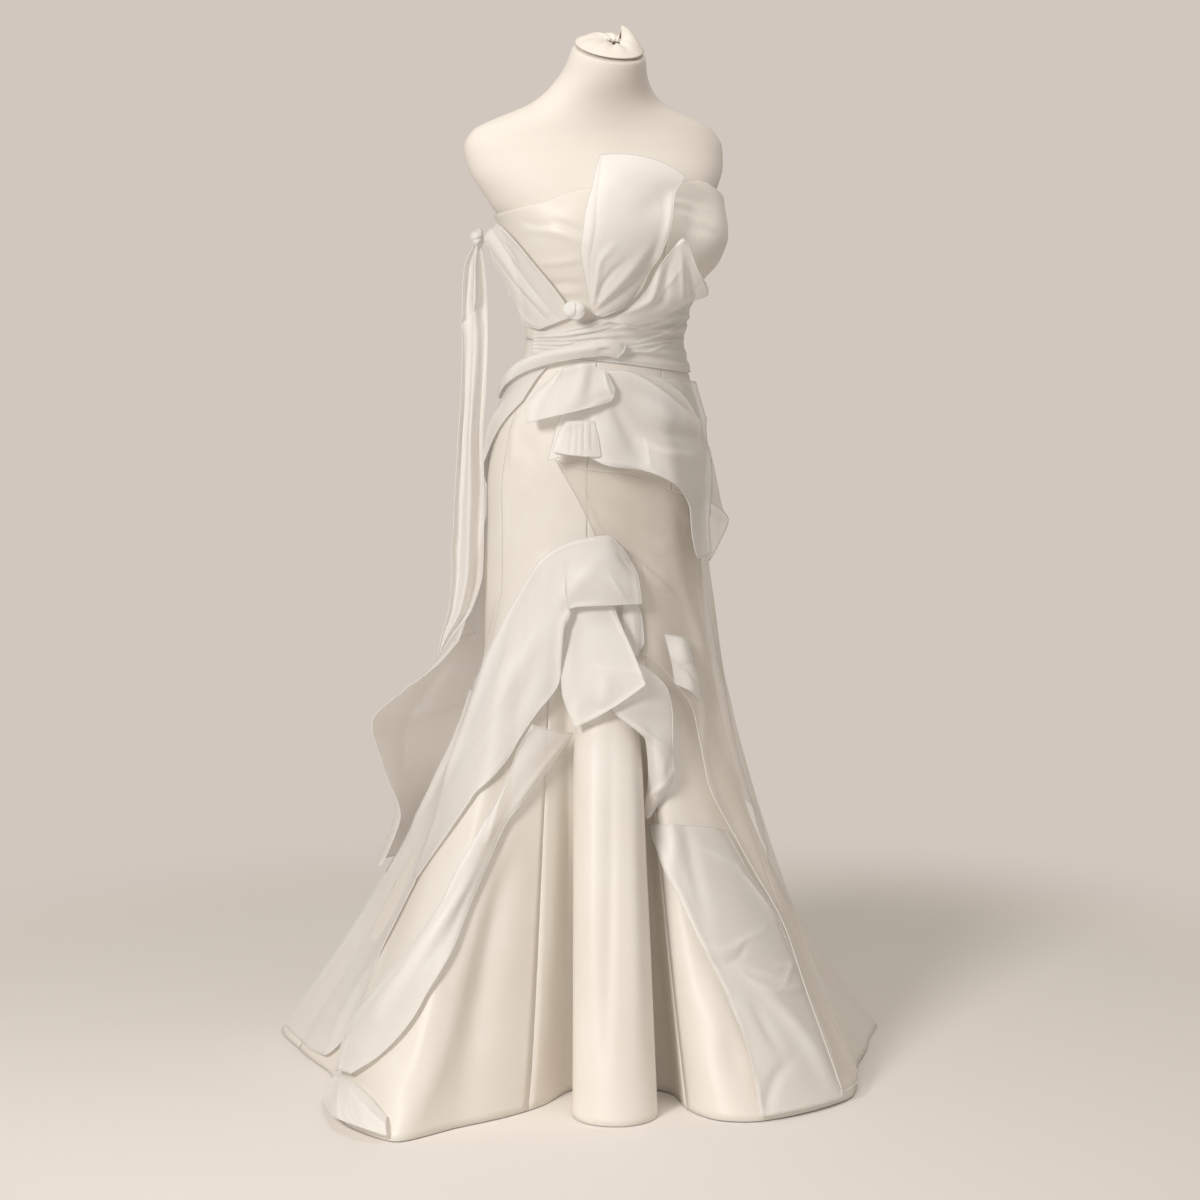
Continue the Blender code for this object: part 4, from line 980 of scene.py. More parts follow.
def back_placket():
    top = float(neckline(BACK_SEAM))

    def place(along, up):
        height = PLACKET_LOW + (top - PLACKET_LOW) * up
        return gown(BACK_SEAM + PLACKET_HALF_WIDTH * (2 * along - 1), height, PLACKET_OUT + SATIN)

    satin_piece("back_placket", place, PLACKET_COLUMNS, PLACKET_ROWS, ())


back_placket()


# %% [markdown]
# ## The organza drapery
#
# Each sheet is placed by a short table. A rising table has a row for each level, from the lowest up, and
# a running table a row for each place from left to right. Three guides stand in each row, at the two
# edges and in the middle, and a guide is a station, a height and how far the sheet stands out from the
# satin. A sheet that hangs free of the gown has its guides aside, up and forwards instead.


# %% Tables of the sheets
BUST_FAN = (
    (-29.0, 1.128, 0.012, -26.0, 1.126, 0.014, -22.0, 1.124, 0.012),
    (-31.0, 1.165, 0.016, -20.0, 1.158, 0.026, -6.0, 1.150, 0.018),
    (-32.0, 1.210, 0.018, -14.0, 1.206, 0.032, 5.0, 1.206, 0.022),
    (-28.0, 1.255, 0.022, -10.0, 1.254, 0.036, 10.5, 1.243, 0.028),
    (-21.0, 1.295, 0.028, -5.0, 1.290, 0.040, 14.0, 1.277, 0.034),
    (-14.5, 1.329, 0.036, 2.0, 1.321, 0.044, 18.5, 1.297, 0.040),
)
BUST_POINT = (
    (-18.0, 1.122, 0.026, -12.0, 1.120, 0.030, -6.0, 1.116, 0.026),
    (-9.0, 1.145, 0.032, 4.0, 1.140, 0.034, 18.0, 1.134, 0.028),
    (-2.0, 1.166, 0.034, 13.0, 1.158, 0.037, 29.0, 1.158, 0.031),
    (1.0, 1.178, 0.034, 18.0, 1.172, 0.039, 36.0, 1.172, 0.034),
    (5.5, 1.206, 0.036, 14.0, 1.204, 0.040, 23.0, 1.204, 0.038),
    (14.5, 1.229, 0.038, 15.2, 1.230, 0.040, 16.0, 1.230, 0.038),
)
SHOULDER_DRAPE = (
    (-101.0, 1.230, 0.029, -100.0, 1.240, 0.029, -97.0, 1.252, 0.018),
    (-106.0, 1.204, 0.028, -95.0, 1.224, 0.024, -85.0, 1.256, 0.010),
    (-106.0, 1.158, 0.016, -87.0, 1.190, 0.018, -71.0, 1.231, 0.008),
    (-103.0, 1.128, 0.009, -78.0, 1.150, 0.014, -59.0, 1.193, 0.008),
    (-88.0, 1.106, 0.007, -66.0, 1.124, 0.012, -48.0, 1.152, 0.008),
    (-70.0, 1.102, 0.007, -56.0, 1.112, 0.010, -42.0, 1.124, 0.008),
)
WAIST_WRAP = (
    (-79.0, 1.062, 0.003, -79.0, 1.080, 0.004, -78.0, 1.094, 0.003),
    (-55.0, 1.060, 0.004, -55.0, 1.082, 0.007, -55.0, 1.100, 0.004),
    (-30.0, 1.056, 0.004, -30.0, 1.086, 0.008, -30.0, 1.112, 0.004),
    (-5.0, 1.050, 0.004, -5.0, 1.088, 0.006, -5.0, 1.128, 0.005),
    (25.0, 1.040, 0.004, 25.0, 1.088, 0.005, 25.0, 1.142, 0.005),
    (60.0, 1.030, 0.004, 60.0, 1.086, 0.004, 60.0, 1.148, 0.004),
    (100.0, 1.028, 0.004, 100.0, 1.084, 0.004, 100.0, 1.146, 0.004),
    (140.0, 1.032, 0.004, 140.0, 1.080, 0.005, 140.0, 1.132, 0.004),
    (174.0, 1.040, 0.003, 174.0, 1.078, 0.004, 174.0, 1.118, 0.003),
)
WAIST_SASH = (
    (-175.0, 1.022, 0.010, -175.0, 1.034, 0.013, -175.0, 1.046, 0.010),
    (-148.0, 0.996, 0.011, -148.0, 1.008, 0.015, -148.0, 1.020, 0.011),
    (-118.0, 0.988, 0.012, -118.0, 1.000, 0.017, -118.0, 1.012, 0.012),
    (-95.0, 1.012, 0.014, -95.0, 1.026, 0.020, -95.0, 1.038, 0.014),
    (-70.0, 1.036, 0.016, -71.0, 1.048, 0.023, -72.0, 1.058, 0.016),
    (-40.0, 1.056, 0.018, -40.0, 1.068, 0.026, -40.0, 1.080, 0.018),
    (-22.0, 1.062, 0.018, -21.0, 1.077, 0.026, -20.0, 1.091, 0.018),
    (-12.0, 1.058, 0.016, -9.0, 1.068, 0.022, -7.0, 1.079, 0.016),
)
HIP_DRAPE_RIGHT = (
    (-175.0, 0.806, 0.006, -175.0, 0.910, 0.008, -175.0, 1.012, 0.004),
    (-150.0, 0.820, 0.008, -150.0, 0.925, 0.010, -150.0, 1.020, 0.004),
    (-125.0, 0.858, 0.008, -124.0, 0.942, 0.010, -120.0, 1.022, 0.004),
    (-106.0, 0.896, 0.008, -103.0, 0.968, 0.010, -96.0, 1.030, 0.004),
    (-89.0, 0.950, 0.007, -84.0, 0.998, 0.009, -78.0, 1.038, 0.004),
    (-72.0, 0.994, 0.006, -66.0, 1.024, 0.007, -60.0, 1.044, 0.004),
)
BOW_FAN = (
    (-56.0, 0.962, 0.034, -40.0, 0.974, 0.044, -16.0, 0.996, 0.030),
    (-60.0, 0.985, 0.028, -40.0, 0.995, 0.042, -14.0, 1.012, 0.028),
    (-57.0, 1.012, 0.020, -40.0, 1.020, 0.034, -17.0, 1.030, 0.020),
    (-50.0, 1.040, 0.010, -40.0, 1.046, 0.014, -28.0, 1.050, 0.010),
)
BOW_LOOP = (
    (-41.0, 0.926, 0.040, -31.0, 0.922, 0.050, -20.0, 0.920, 0.044),
    (-40.0, 0.945, 0.034, -31.0, 0.945, 0.044, -21.0, 0.944, 0.036),
    (-37.0, 0.966, 0.024, -30.0, 0.968, 0.028, -23.0, 0.968, 0.026),
)
PEPLUM = (
    (-43.0, 0.914, 0.040, -42.0, 0.960, 0.014, -40.0, 1.006, 0.006),
    (-30.0, 0.923, 0.032, -30.0, 0.975, 0.012, -30.0, 1.030, 0.006),
    (-16.0, 0.907, 0.046, -15.0, 0.975, 0.026, -14.0, 1.040, 0.008),
    (-2.0, 0.900, 0.036, -1.0, 0.972, 0.022, 0.0, 1.036, 0.008),
    (12.0, 0.882, 0.048, 13.0, 0.962, 0.026, 15.0, 1.030, 0.008),
    (24.0, 0.852, 0.034, 27.0, 0.945, 0.018, 32.0, 1.024, 0.008),
    (36.0, 0.760, 0.026, 44.0, 0.900, 0.014, 52.0, 1.018, 0.007),
    (60.0, 0.760, 0.018, 64.0, 0.890, 0.010, 72.0, 1.012, 0.007),
)
PEPLUM_CORNER = (
    (66.0, 0.745, 0.013, 66.0, 0.810, 0.013, 70.0, 0.900, 0.009),
    (74.0, 0.772, 0.030, 74.0, 0.818, 0.026, 78.0, 0.910, 0.009),
    (84.0, 0.806, 0.048, 84.0, 0.832, 0.036, 90.0, 0.920, 0.009),
    (108.0, 0.836, 0.030, 108.0, 0.870, 0.024, 110.0, 0.930, 0.010),
    (134.0, 0.846, 0.012, 134.0, 0.886, 0.014, 134.0, 0.975, 0.006),
    (174.0, 0.820, 0.008, 174.0, 0.910, 0.012, 174.0, 1.022, 0.004),
)
SIDE_OVERLAY = (
    (-2.0, 0.640, 0.005, -20.0, 0.800, 0.005, -42.0, 0.914, 0.004),
    (8.0, 0.620, 0.008, -4.0, 0.770, 0.006, -26.0, 0.900, 0.004),
    (18.0, 0.585, 0.010, 14.0, 0.730, 0.006, 0.0, 0.890, 0.004),
    (27.0, 0.530, 0.014, 27.0, 0.690, 0.007, 15.0, 0.872, 0.004),
    (26.5, 0.440, 0.016, 34.0, 0.640, 0.009, 28.0, 0.858, 0.004),
    (33.0, 0.348, 0.018, 42.0, 0.580, 0.013, 40.0, 0.850, 0.004),
    (42.0, 0.222, 0.018, 47.0, 0.530, 0.016, 50.0, 0.846, 0.004),
    (40.0, 0.100, 0.018, 51.0, 0.500, 0.018, 58.0, 0.846, 0.004),
    (38.0, 0.010, 0.016, 55.0, 0.475, 0.019, 66.0, 0.850, 0.004),
    (48.0, 0.012, 0.012, 60.0, 0.460, 0.019, 73.0, 0.855, 0.004),
    (52.0, 0.140, 0.011, 66.0, 0.460, 0.018, 79.0, 0.858, 0.004),
    (58.0, 0.270, 0.011, 73.0, 0.500, 0.016, 85.0, 0.860, 0.004),
    (72.0, 0.330, 0.010, 82.0, 0.540, 0.012, 90.0, 0.860, 0.004),
    (92.0, 0.360, 0.008, 93.0, 0.600, 0.008, 96.0, 0.860, 0.004),
)
KNEE_ARCH = (
    (-122.0, 0.012, 0.006, -123.0, 0.290, 0.006, -124.0, 0.546, 0.005),
    (-112.0, 0.010, 0.006, -110.0, 0.290, 0.006, -110.0, 0.550, 0.005),
    (-102.0, 0.016, 0.006, -97.0, 0.300, 0.006, -96.0, 0.560, 0.005),
    (-92.0, 0.110, 0.006, -88.0, 0.340, 0.006, -85.0, 0.576, 0.005),
    (-84.0, 0.215, 0.006, -80.0, 0.390, 0.006, -76.0, 0.600, 0.005),
    (-77.0, 0.308, 0.006, -73.0, 0.450, 0.007, -69.0, 0.640, 0.005),
    (-69.0, 0.372, 0.007, -66.0, 0.510, 0.009, -63.0, 0.684, 0.006),
    (-61.0, 0.432, 0.008, -59.0, 0.570, 0.012, -57.0, 0.722, 0.007),
    (-54.0, 0.490, 0.010, -52.0, 0.630, 0.018, -51.0, 0.754, 0.008),
    (-47.0, 0.550, 0.018, -46.0, 0.680, 0.023, -46.0, 0.772, 0.009),
    (-41.0, 0.590, 0.024, -41.0, 0.710, 0.027, -41.0, 0.782, 0.009),
    (-40.0, 0.640, 0.028, -37.0, 0.737, 0.030, -36.0, 0.790, 0.010),
    (-37.0, 0.690, 0.033, -32.0, 0.755, 0.033, -30.0, 0.796, 0.011),
    (-28.0, 0.703, 0.036, -26.0, 0.762, 0.035, -24.0, 0.800, 0.012),
    (-18.0, 0.704, 0.038, -17.0, 0.764, 0.036, -15.0, 0.803, 0.012),
    (-8.0, 0.704, 0.036, -8.0, 0.752, 0.032, -7.0, 0.782, 0.014),
    (0.0, 0.703, 0.030, -1.0, 0.732, 0.026, -2.0, 0.758, 0.014),
)
KNEE_TAB = (
    (-4.5, 0.628, 0.012, -2.0, 0.626, 0.016, 0.5, 0.624, 0.012),
    (-6.0, 0.652, 0.012, -1.0, 0.650, 0.018, 4.5, 0.645, 0.014),
    (-7.0, 0.676, 0.011, -2.0, 0.676, 0.018, 3.5, 0.674, 0.014),
    (-7.0, 0.705, 0.008, -3.0, 0.708, 0.012, 1.0, 0.705, 0.009),
)
SIDE_FOLD = (
    (16.0, 0.580, 0.022, 22.0, 0.566, 0.027, 28.0, 0.552, 0.024),
    (15.5, 0.604, 0.022, 22.0, 0.593, 0.029, 28.5, 0.580, 0.024),
    (15.0, 0.628, 0.018, 21.0, 0.621, 0.026, 27.5, 0.610, 0.020),
    (14.0, 0.652, 0.015, 20.5, 0.646, 0.020, 27.0, 0.638, 0.016),
)
SIDE_CASCADE = (
    (20.0, 0.004, 0.009, 29.0, 0.004, 0.012, 39.0, 0.004, 0.008),
    (21.0, 0.080, 0.009, 31.0, 0.075, 0.014, 42.0, 0.070, 0.008),
    (19.5, 0.150, 0.009, 31.0, 0.150, 0.015, 43.5, 0.150, 0.008),
    (15.0, 0.235, 0.009, 29.0, 0.235, 0.014, 44.0, 0.235, 0.008),
    (9.5, 0.315, 0.008, 24.0, 0.312, 0.012, 38.0, 0.305, 0.007),
    (4.0, 0.386, 0.007, 19.0, 0.382, 0.009, 34.0, 0.366, 0.006),
)
HEM_STRIP = (
    (-80.0, 0.046, 0.011, -78.0, 0.052, 0.015, -74.0, 0.058, 0.011),
    (-85.0, 0.090, 0.012, -77.0, 0.096, 0.018, -67.0, 0.100, 0.010),
    (-78.0, 0.150, 0.012, -70.0, 0.156, 0.018, -61.0, 0.160, 0.010),
    (-70.0, 0.215, 0.012, -64.0, 0.220, 0.018, -58.5, 0.226, 0.010),
    (-62.0, 0.300, 0.012, -59.5, 0.304, 0.018, -56.5, 0.306, 0.010),
    (-58.0, 0.385, 0.013, -56.0, 0.385, 0.018, -53.5, 0.385, 0.012),
    (-53.0, 0.480, 0.021, -48.0, 0.471, 0.022, -43.0, 0.466, 0.014),
    (-49.0, 0.530, 0.028, -42.0, 0.521, 0.024, -35.0, 0.516, 0.014),
)
BACK_WING = (
    (-120.0, 0.262, 0.020, -132.0, 0.258, 0.022, -152.0, 0.250, 0.010),
    (-118.0, 0.335, 0.032, -132.0, 0.325, 0.034, -154.0, 0.320, 0.010),
    (-116.0, 0.398, 0.094, -130.0, 0.392, 0.060, -156.0, 0.385, 0.010),
    (-114.0, 0.458, 0.136, -129.0, 0.455, 0.084, -156.0, 0.460, 0.010),
    (-114.0, 0.502, 0.118, -129.0, 0.512, 0.076, -156.0, 0.535, 0.010),
    (-114.0, 0.545, 0.086, -129.0, 0.570, 0.062, -156.0, 0.605, 0.010),
    (-115.0, 0.588, 0.058, -130.0, 0.630, 0.048, -155.0, 0.680, 0.010),
    (-117.0, 0.660, 0.030, -132.0, 0.715, 0.032, -152.0, 0.760, 0.010),
    (-124.0, 0.850, 0.0045, -136.0, 0.840, 0.0045, -150.0, 0.826, 0.0045),
)
HEM_PETALS = (
    (-82.0, 0.004, 0.010, -82.0, 0.018, 0.013, -82.0, 0.032, 0.010),
    (-77.0, 0.004, 0.014, -77.0, 0.022, 0.018, -78.0, 0.044, 0.013),
    (-71.0, 0.004, 0.026, -71.0, 0.024, 0.025, -73.0, 0.050, 0.015),
    (-65.0, 0.004, 0.030, -66.0, 0.022, 0.026, -68.0, 0.044, 0.012),
    (-60.5, 0.004, 0.012, -61.0, 0.014, 0.014, -62.0, 0.026, 0.008),
)
KNEE_FLAP = (
    (-0.036, 0.535, 0.200, 0.011, 0.560, 0.209, 0.065, 0.596, 0.200),
    (-0.056, 0.583, 0.182, -0.003, 0.594, 0.199, 0.056, 0.619, 0.189),
    (-0.058, 0.620, 0.158, -0.009, 0.629, 0.180, 0.045, 0.643, 0.172),
    (-0.053, 0.653, 0.144, -0.013, 0.664, 0.156, 0.030, 0.674, 0.151),
    (-0.046, 0.701, 0.133, -0.014, 0.708, 0.140, 0.016, 0.710, 0.132),
)
SECOND_FLAP = (
    (0.067, 0.398, 0.176, 0.071, 0.398, 0.179, 0.077, 0.405, 0.176),
    (0.068, 0.450, 0.178, 0.085, 0.449, 0.186, 0.106, 0.459, 0.170),
    (0.065, 0.514, 0.190, 0.084, 0.502, 0.190, 0.106, 0.500, 0.170),
    (0.019, 0.560, 0.195, 0.058, 0.552, 0.190, 0.106, 0.540, 0.158),
    (0.035, 0.586, 0.182, 0.062, 0.588, 0.176, 0.098, 0.580, 0.150),
    (0.017, 0.612, 0.166, 0.037, 0.616, 0.160, 0.062, 0.618, 0.144),
)


# %% Read a table at any place of its sheet
def read_table(table, along, across):
    """The three measures of a table at a share of the way along its rows and across its three guides."""
    rows = np.linspace(0.0, 1.0, len(table))
    found = []
    for kind in range(3):
        guides = [smooth(rows, column(table, 3 * guide + kind), along) for guide in range(3)]
        found.append(across_three(*guides, across))
    return found


# How far a sheet's outer face stands out from its table, its wall, and the radius of its rolled hem.
ORGANZA_FACE = 0.0009
ORGANZA_WALL = 0.0004
HEM_RADIUS = 0.0008


def rising(table):
    def place(across, up):
        station, height, out = read_table(table, up, across)
        return gown(station, height, out + ORGANZA_FACE)

    return place


def running(table):
    def place(along, up):
        station, height, out = read_table(table, along, up)
        return gown(station, height, out + ORGANZA_FACE)

    return place


def hanging(table):
    def place(across, up):
        aside, height, forward = read_table(table, up, across)
        return facing(HANGING_BEARING, aside, height, forward + ORGANZA_FACE)

    return place


# %% Folds of each sheet of organza, as seen from the front at the right
FRONT_FOLDS = {
    "bust_fan": [
        ("sharp", 2, 2, -1.2, -2, -1, 602, 160, 598, 190, 595, 230, 590, 265, 590, 300),
        ("soft", 4, 3, 0.8, 2.4, 1.2, 613, 246, 600, 262, 597, 280, 594, 302),
        ("soft", 4, 3, -0.8, -2.2, -1.2, 626, 261, 611, 275, 601, 290, 595, 308),
        ("soft", 5, 4, 0.8, 2.4, 1.2, 646, 250, 629, 272, 611, 292, 598, 308),
        ("soft", 5, 4, -1, -3.2, -1.6, 664, 238, 651, 262, 631, 285, 606, 305, 590, 318),
        ("soft", 4, 4, 1, 2.2, 1, 664, 256, 648, 280, 630, 302, 606, 317),
        ("sharp", 3, 3, -1, -2.4, -1, 656, 262, 641, 286, 625, 308, 600, 321, 585, 325),
        ("soft", 13, 12, -0.6, -2.6, -0.8, 678, 190, 658, 202, 640, 214),
        ("soft", 4, 4, 1.8, 3, 1.8, 673, 196, 668, 225, 661, 250, 655, 263),
    ],
    "bust_point": [
        ("sharp", 2.5, 3, 1.2, 2, 1, 683, 241, 671, 251, 661, 263),
        ("soft", 4, 4, 1.4, 2.8, 1.2, 661, 264, 656, 285, 651, 298, 640, 306, 620, 314),
        ("soft", 4, 4, -0.6, -2.2, -0.8, 674, 256, 668, 272, 664, 300, 650, 312),
        ("sharp", 2.5, 3, 0.8, 1.6, 1, 684, 242, 697, 268, 708, 297),
        ("sharp", 2.5, 2.5, 0.5, 1.8, 0.6, 681, 267, 669, 284, 663, 293),
        ("soft", 3, 3, 0.4, 1.4, 0.5, 681, 252, 683, 300),
        ("soft", 4, 4, -0.3, -1.6, -0.6, 688, 258, 692, 278, 696, 298),
    ],
    "shoulder_drape": [
        ("soft", 3, 3, 1, 1.8, 1, 492, 219, 515, 240, 540, 270, 560, 298, 567, 312),
        ("sharp", 2.5, 2.5, -1.2, -2.4, -1, 490, 228, 500, 245, 520, 275, 540, 300, 557, 318),
        ("soft", 4, 4, 0.8, 1.8, 0.8, 488, 237, 502, 258, 522, 287, 546, 312),
        ("sharp", 2.5, 2.5, -1.2, -2.4, -1, 485, 245, 500, 268, 522, 295, 546, 320),
        ("soft", 3, 3, 0.8, 1.6, 0.8, 483, 257, 500, 284, 515, 309, 530, 323, 541, 328),
        ("sharp", 2, 2, -0.4, -1.4, -0.4, 500, 240, 512, 255, 517, 264),
    ],
    "shoulder_tail": [
        ("sharp", 3, 3, -2, -3.2, -1.2, 456, 331, 465, 320, 481, 304),
        ("soft", 3, 3, -0.8, -2.2, -0.8, 471, 256, 470, 276, 469, 294),
        ("soft", 3, 4, 0.6, 1.6, 0.6, 478, 330, 478, 420, 470, 520),
        ("sharp", 2.5, 3, -0.6, -1.8, -0.6, 484, 300, 484, 420, 476, 520),
        ("sharp", 3, 3, -0.5, -1.8, -0.5, 451, 536, 453, 550, 456, 564),
    ],
    "waist_wrap": [
        ("sharp", 2, 2, 0.6, 1.3, 0.6, 537, 331, 560, 326, 600, 320, 620, 316),
        ("lap", 2.5, 2.5, 0.8, 1.8, 0.8, 540, 336, 580, 331, 600, 326),
        ("sharp", 2, 2, -0.6, -1.6, -0.6, 560, 334, 580, 331, 602, 323),
        ("sharp", 2, 2, -0.6, -1.8, -0.8, 536, 341, 560, 340, 600, 334),
        ("sharp", 2.5, 2.5, -1, -2.2, -1, 660, 317, 640, 319, 620, 325, 600, 332, 575, 337),
        ("lap", 2.5, 2.5, 1, 2.2, 1, 630, 332, 655, 326, 682, 314),
        ("lap", 2.5, 2.5, 1.2, 2.4, 1, 638, 342, 660, 334, 682, 321),
        ("lap", 2.5, 2.5, 0.8, 2.2, 1, 624, 349, 650, 344, 682, 339),
        ("lap", 2.5, 2.5, 0.8, 2, 1, 605, 353, 625, 351, 645, 352, 662, 346, 682, 341),
        ("sharp", 2, 2, -0.6, -1.6, -0.8, 600, 357, 640, 355, 680, 362),
        ("sharp", 2, 2, -1, -2.2, -1, 536, 359, 560, 349, 580, 342, 600, 339),
        ("soft", 3, 3, 0.8, 1.6, 0.8, 536, 331, 535, 345, 536, 358),
    ],
    "waist_sash": [
        ("soft", 4, 5, 0.8, 1.6, 1.6, 540, 356, 570, 350, 600, 346, 618, 346),
        ("soft", 3, 3, -0.6, -2.2, -0.6, 598, 350, 605, 350, 612, 349),
        ("sharp", 2, 2, 0.4, 0.9, 0.5, 535, 362, 560, 360, 590, 355, 600, 357),
    ],
    "bow_fan": [
        ("sharp", 2, 3, -1.6, -2.2, -0.5, 556, 366, 548, 378, 541, 389),
        ("sharp", 2, 3, -1.4, -1.8, -0.4, 559, 370, 553, 383, 549, 396),
        ("sharp", 2, 3, -1.4, -1.8, -0.4, 562, 362, 560, 376, 557, 388),
        ("sharp", 2, 2.5, -1.2, -1.8, -0.3, 570, 358, 568, 366, 566, 377),
        ("sharp", 2, 2.5, -1.2, -1.6, -0.3, 577, 356, 574, 364, 573, 373),
        ("soft", 6, 9, 0.5, 2, 0.4, 586, 362, 579, 386, 571, 409),
        ("soft", 5, 7, -0.3, -1.6, -0.5, 594, 362, 591, 386, 588, 402),
        ("soft", 3, 3, 0.6, 1.4, 0.8, 537, 425, 560, 423, 575, 417, 600, 402, 613, 398),
        ("sharp", 2.5, 3, 1.2, 2.4, 1.4, 603, 363, 606, 384, 613, 398),
        ("sharp", 2, 2, -0.8, -1.8, -0.8, 607, 365, 611, 376, 615, 386),
    ],
    "bow_loop": [
        ("sharp", 1.8, 2, -0.8, -1.8, -0.8, 572, 424, 570, 452),
        ("sharp", 1.8, 2, -0.8, -1.5, -0.6, 578, 423, 577, 455),
        ("sharp", 1.8, 2, -0.8, -1.8, -0.8, 584, 422, 584, 455),
        ("sharp", 1.8, 2, -0.6, -1.4, -0.6, 591, 422, 592, 450),
        ("soft", 3, 3, 0.8, 1.5, 0.8, 564, 423, 560, 436, 556, 450),
    ],
    "hip_drape_right": [
        ("sharp", 2.5, 3, -1, -2.4, -1, 522, 405, 505, 425, 497, 440, 492, 470),
        ("sharp", 2, 2.5, -0.8, -1.6, -0.6, 520, 410, 511, 424, 505, 437),
        ("soft", 4, 5, 0.8, 1.8, 0.8, 516, 418, 503, 440, 499, 470),
        ("soft", 3, 3, 0.6, 1.2, 0.6, 522, 404, 532, 397, 541, 387),
    ],
    "peplum_flounce": [
        ("soft", 3, 3, 0.5, 1.2, 0.6, 556, 455, 610, 462, 650, 472, 680, 494, 692, 520, 697, 560),
        ("lap", 4.5, 4.5, 1.5, 3.4, 2, 604, 363, 640, 378, 665, 395, 699, 425),
        ("sharp", 2.2, 2.2, -0.8, -1.8, -0.6, 610, 360, 650, 372, 686, 380),
        ("sharp", 2.2, 2.2, -0.8, -1.8, -0.6, 606, 362, 640, 373, 680, 389),
        ("soft", 6, 8, -0.8, -2.8, -1, 612, 400, 626, 428, 641, 456),
        ("soft", 9, 9, 0.8, 2.4, 1, 630, 398, 664, 411, 698, 428),
        ("soft", 7, 7, -0.8, -3, -1.5, 644, 428, 672, 433, 699, 441),
        ("soft", 5, 5, 0.8, 2.8, 1.4, 641, 441, 668, 453, 695, 457),
        ("soft", 8, 8, 0.6, 2, 0.8, 620, 459, 656, 467),
        ("sharp", 2.5, 2.5, 0.6, 1.6, 0.6, 645, 440, 648, 452, 650, 466),
        ("soft", 6, 8, -0.4, -1.8, -0.8, 660, 470, 672, 484, 682, 500),
        ("soft", 5, 7, 0.4, 1.6, 0.6, 590, 400, 596, 430, 600, 456),
    ],
    "peplum_corner": [
        ("soft", 5, 5, 0.8, 2.4, 1, 680, 495, 700, 508, 724, 519),
        ("soft", 6, 8, -0.6, -2.4, -1, 700, 484, 706, 520, 700, 556),
        ("soft", 5, 6, 0.5, 1.6, 0.6, 712, 486, 716, 516, 708, 548),
    ],
    "side_overlay": [
        ("sharp", 2.5, 2.5, 0.8, 1.4, 0.6, 583, 490, 590, 510, 600, 530, 613, 538),
        ("soft", 12, 12, 0.8, 2.4, 0.8, 661, 533, 662, 556),
        ("soft", 11, 11, 0.8, 2, 0.8, 664, 565, 663, 592),
        ("soft", 12, 14, -0.4, -2.4, -0.8, 630, 500, 640, 560, 644, 620),
        ("soft", 9, 10, 0.4, 2, 0.6, 690, 560, 698, 620, 700, 690),
        ("soft", 8, 9, -0.4, -2, -0.8, 712, 600, 716, 680, 722, 760),
        ("soft", 5, 6, 1.2, 3.4, 2.2,
         703, 700, 702, 745, 715, 805, 745, 860, 779, 920, 800, 985, 838, 1095),
        ("soft", 6, 8, -0.6, -2.8, -1.4, 716, 780, 748, 850, 788, 924, 812, 990, 846, 1076),
        ("soft", 4, 5, 0.8, 2, 1.2, 776, 890, 800, 955, 825, 1010, 853, 1068),
    ],
    "side_cascade": [
        ("soft", 4, 5, 1, 2.6, 1.6, 646, 822, 664, 860, 685, 905, 700, 940, 715, 970, 727, 994),
        ("soft", 4, 5, 0.8, 2.4, 1.2, 735, 1012, 745, 1045, 750, 1065, 757, 1090, 763, 1118),
        ("soft", 7, 9, 1.2, 3.8, 1, 670, 810, 672, 848, 668, 886),
        ("soft", 6, 8, -0.6, -3, -1, 686, 820, 694, 868, 706, 920),
        ("sharp", 3, 3, 0.6, 2.4, 0.8, 704, 849, 720, 857, 741, 869),
        ("sharp", 3, 3, 0.8, 2.4, 1, 737, 867, 760, 897, 779, 921),
        ("sharp", 3, 3, 0.6, 2.2, 0.8, 700, 945, 725, 950, 745, 940, 766, 929),
        ("soft", 4, 3, -0.6, -2, -0.8, 706, 955, 725, 963, 738, 958, 746, 945),
        ("sharp", 3.5, 3, 0.8, 2.8, 1, 736, 966, 760, 973, 800, 988),
        ("sharp", 3, 3, 0.6, 2.4, 0.8, 739, 970, 757, 985, 775, 991, 800, 989),
        ("sharp", 3, 3, 0.8, 2.2, 0.8, 775, 967, 791, 966, 783, 986),
        ("soft", 8, 8, 0.8, 3.6, 1.2, 757, 985, 790, 1020, 815, 1055, 832, 1090),
        ("soft", 7, 7, -0.8, -3.6, -1.4, 792, 1058, 775, 1080, 765, 1112),
        ("soft", 6, 6, -0.6, -2.6, -0.8, 752, 1000, 768, 1030, 780, 1050),
    ],
    "knee_arch": [
        ("soft", 3, 4, 0.8, 1.8, 1.2, 600, 604, 578, 606, 562, 626, 560, 660, 559, 688, 541, 710),
        ("soft", 3, 3, 0.8, 1.4, 0.8, 622, 548, 632, 562, 636, 580, 639, 603),
        ("sharp", 2.5, 2.5, 0.6, 2, 0.6, 610, 576, 618, 589, 626, 601),
        ("soft", 4, 4, -0.6, -2.4, -0.8, 619, 553, 626, 562, 633, 570),
        ("soft", 8, 10, 0.4, 2.2, 0.6, 598, 560, 578, 582, 560, 602),
        ("soft", 15, 20, -0.8, -4.6, -2, 500, 700, 460, 775, 420, 850, 380, 920, 340, 992),
        ("soft", 10, 14, 0.6, 3.4, 1.2, 520, 640, 478, 730, 420, 800, 372, 880),
        ("soft", 9, 12, -0.4, -2.6, -1, 540, 650, 520, 700, 500, 736),
        ("soft", 6, 6, 0.8, 2.4, 1.6, 521, 738, 472, 800, 415, 880, 385, 940, 350, 1000, 328, 1056),
        ("sharp", 4, 4, 0.2, 1.8, 0.4, 410, 872, 424, 884, 436, 900),
    ],
    "hem_strip": [
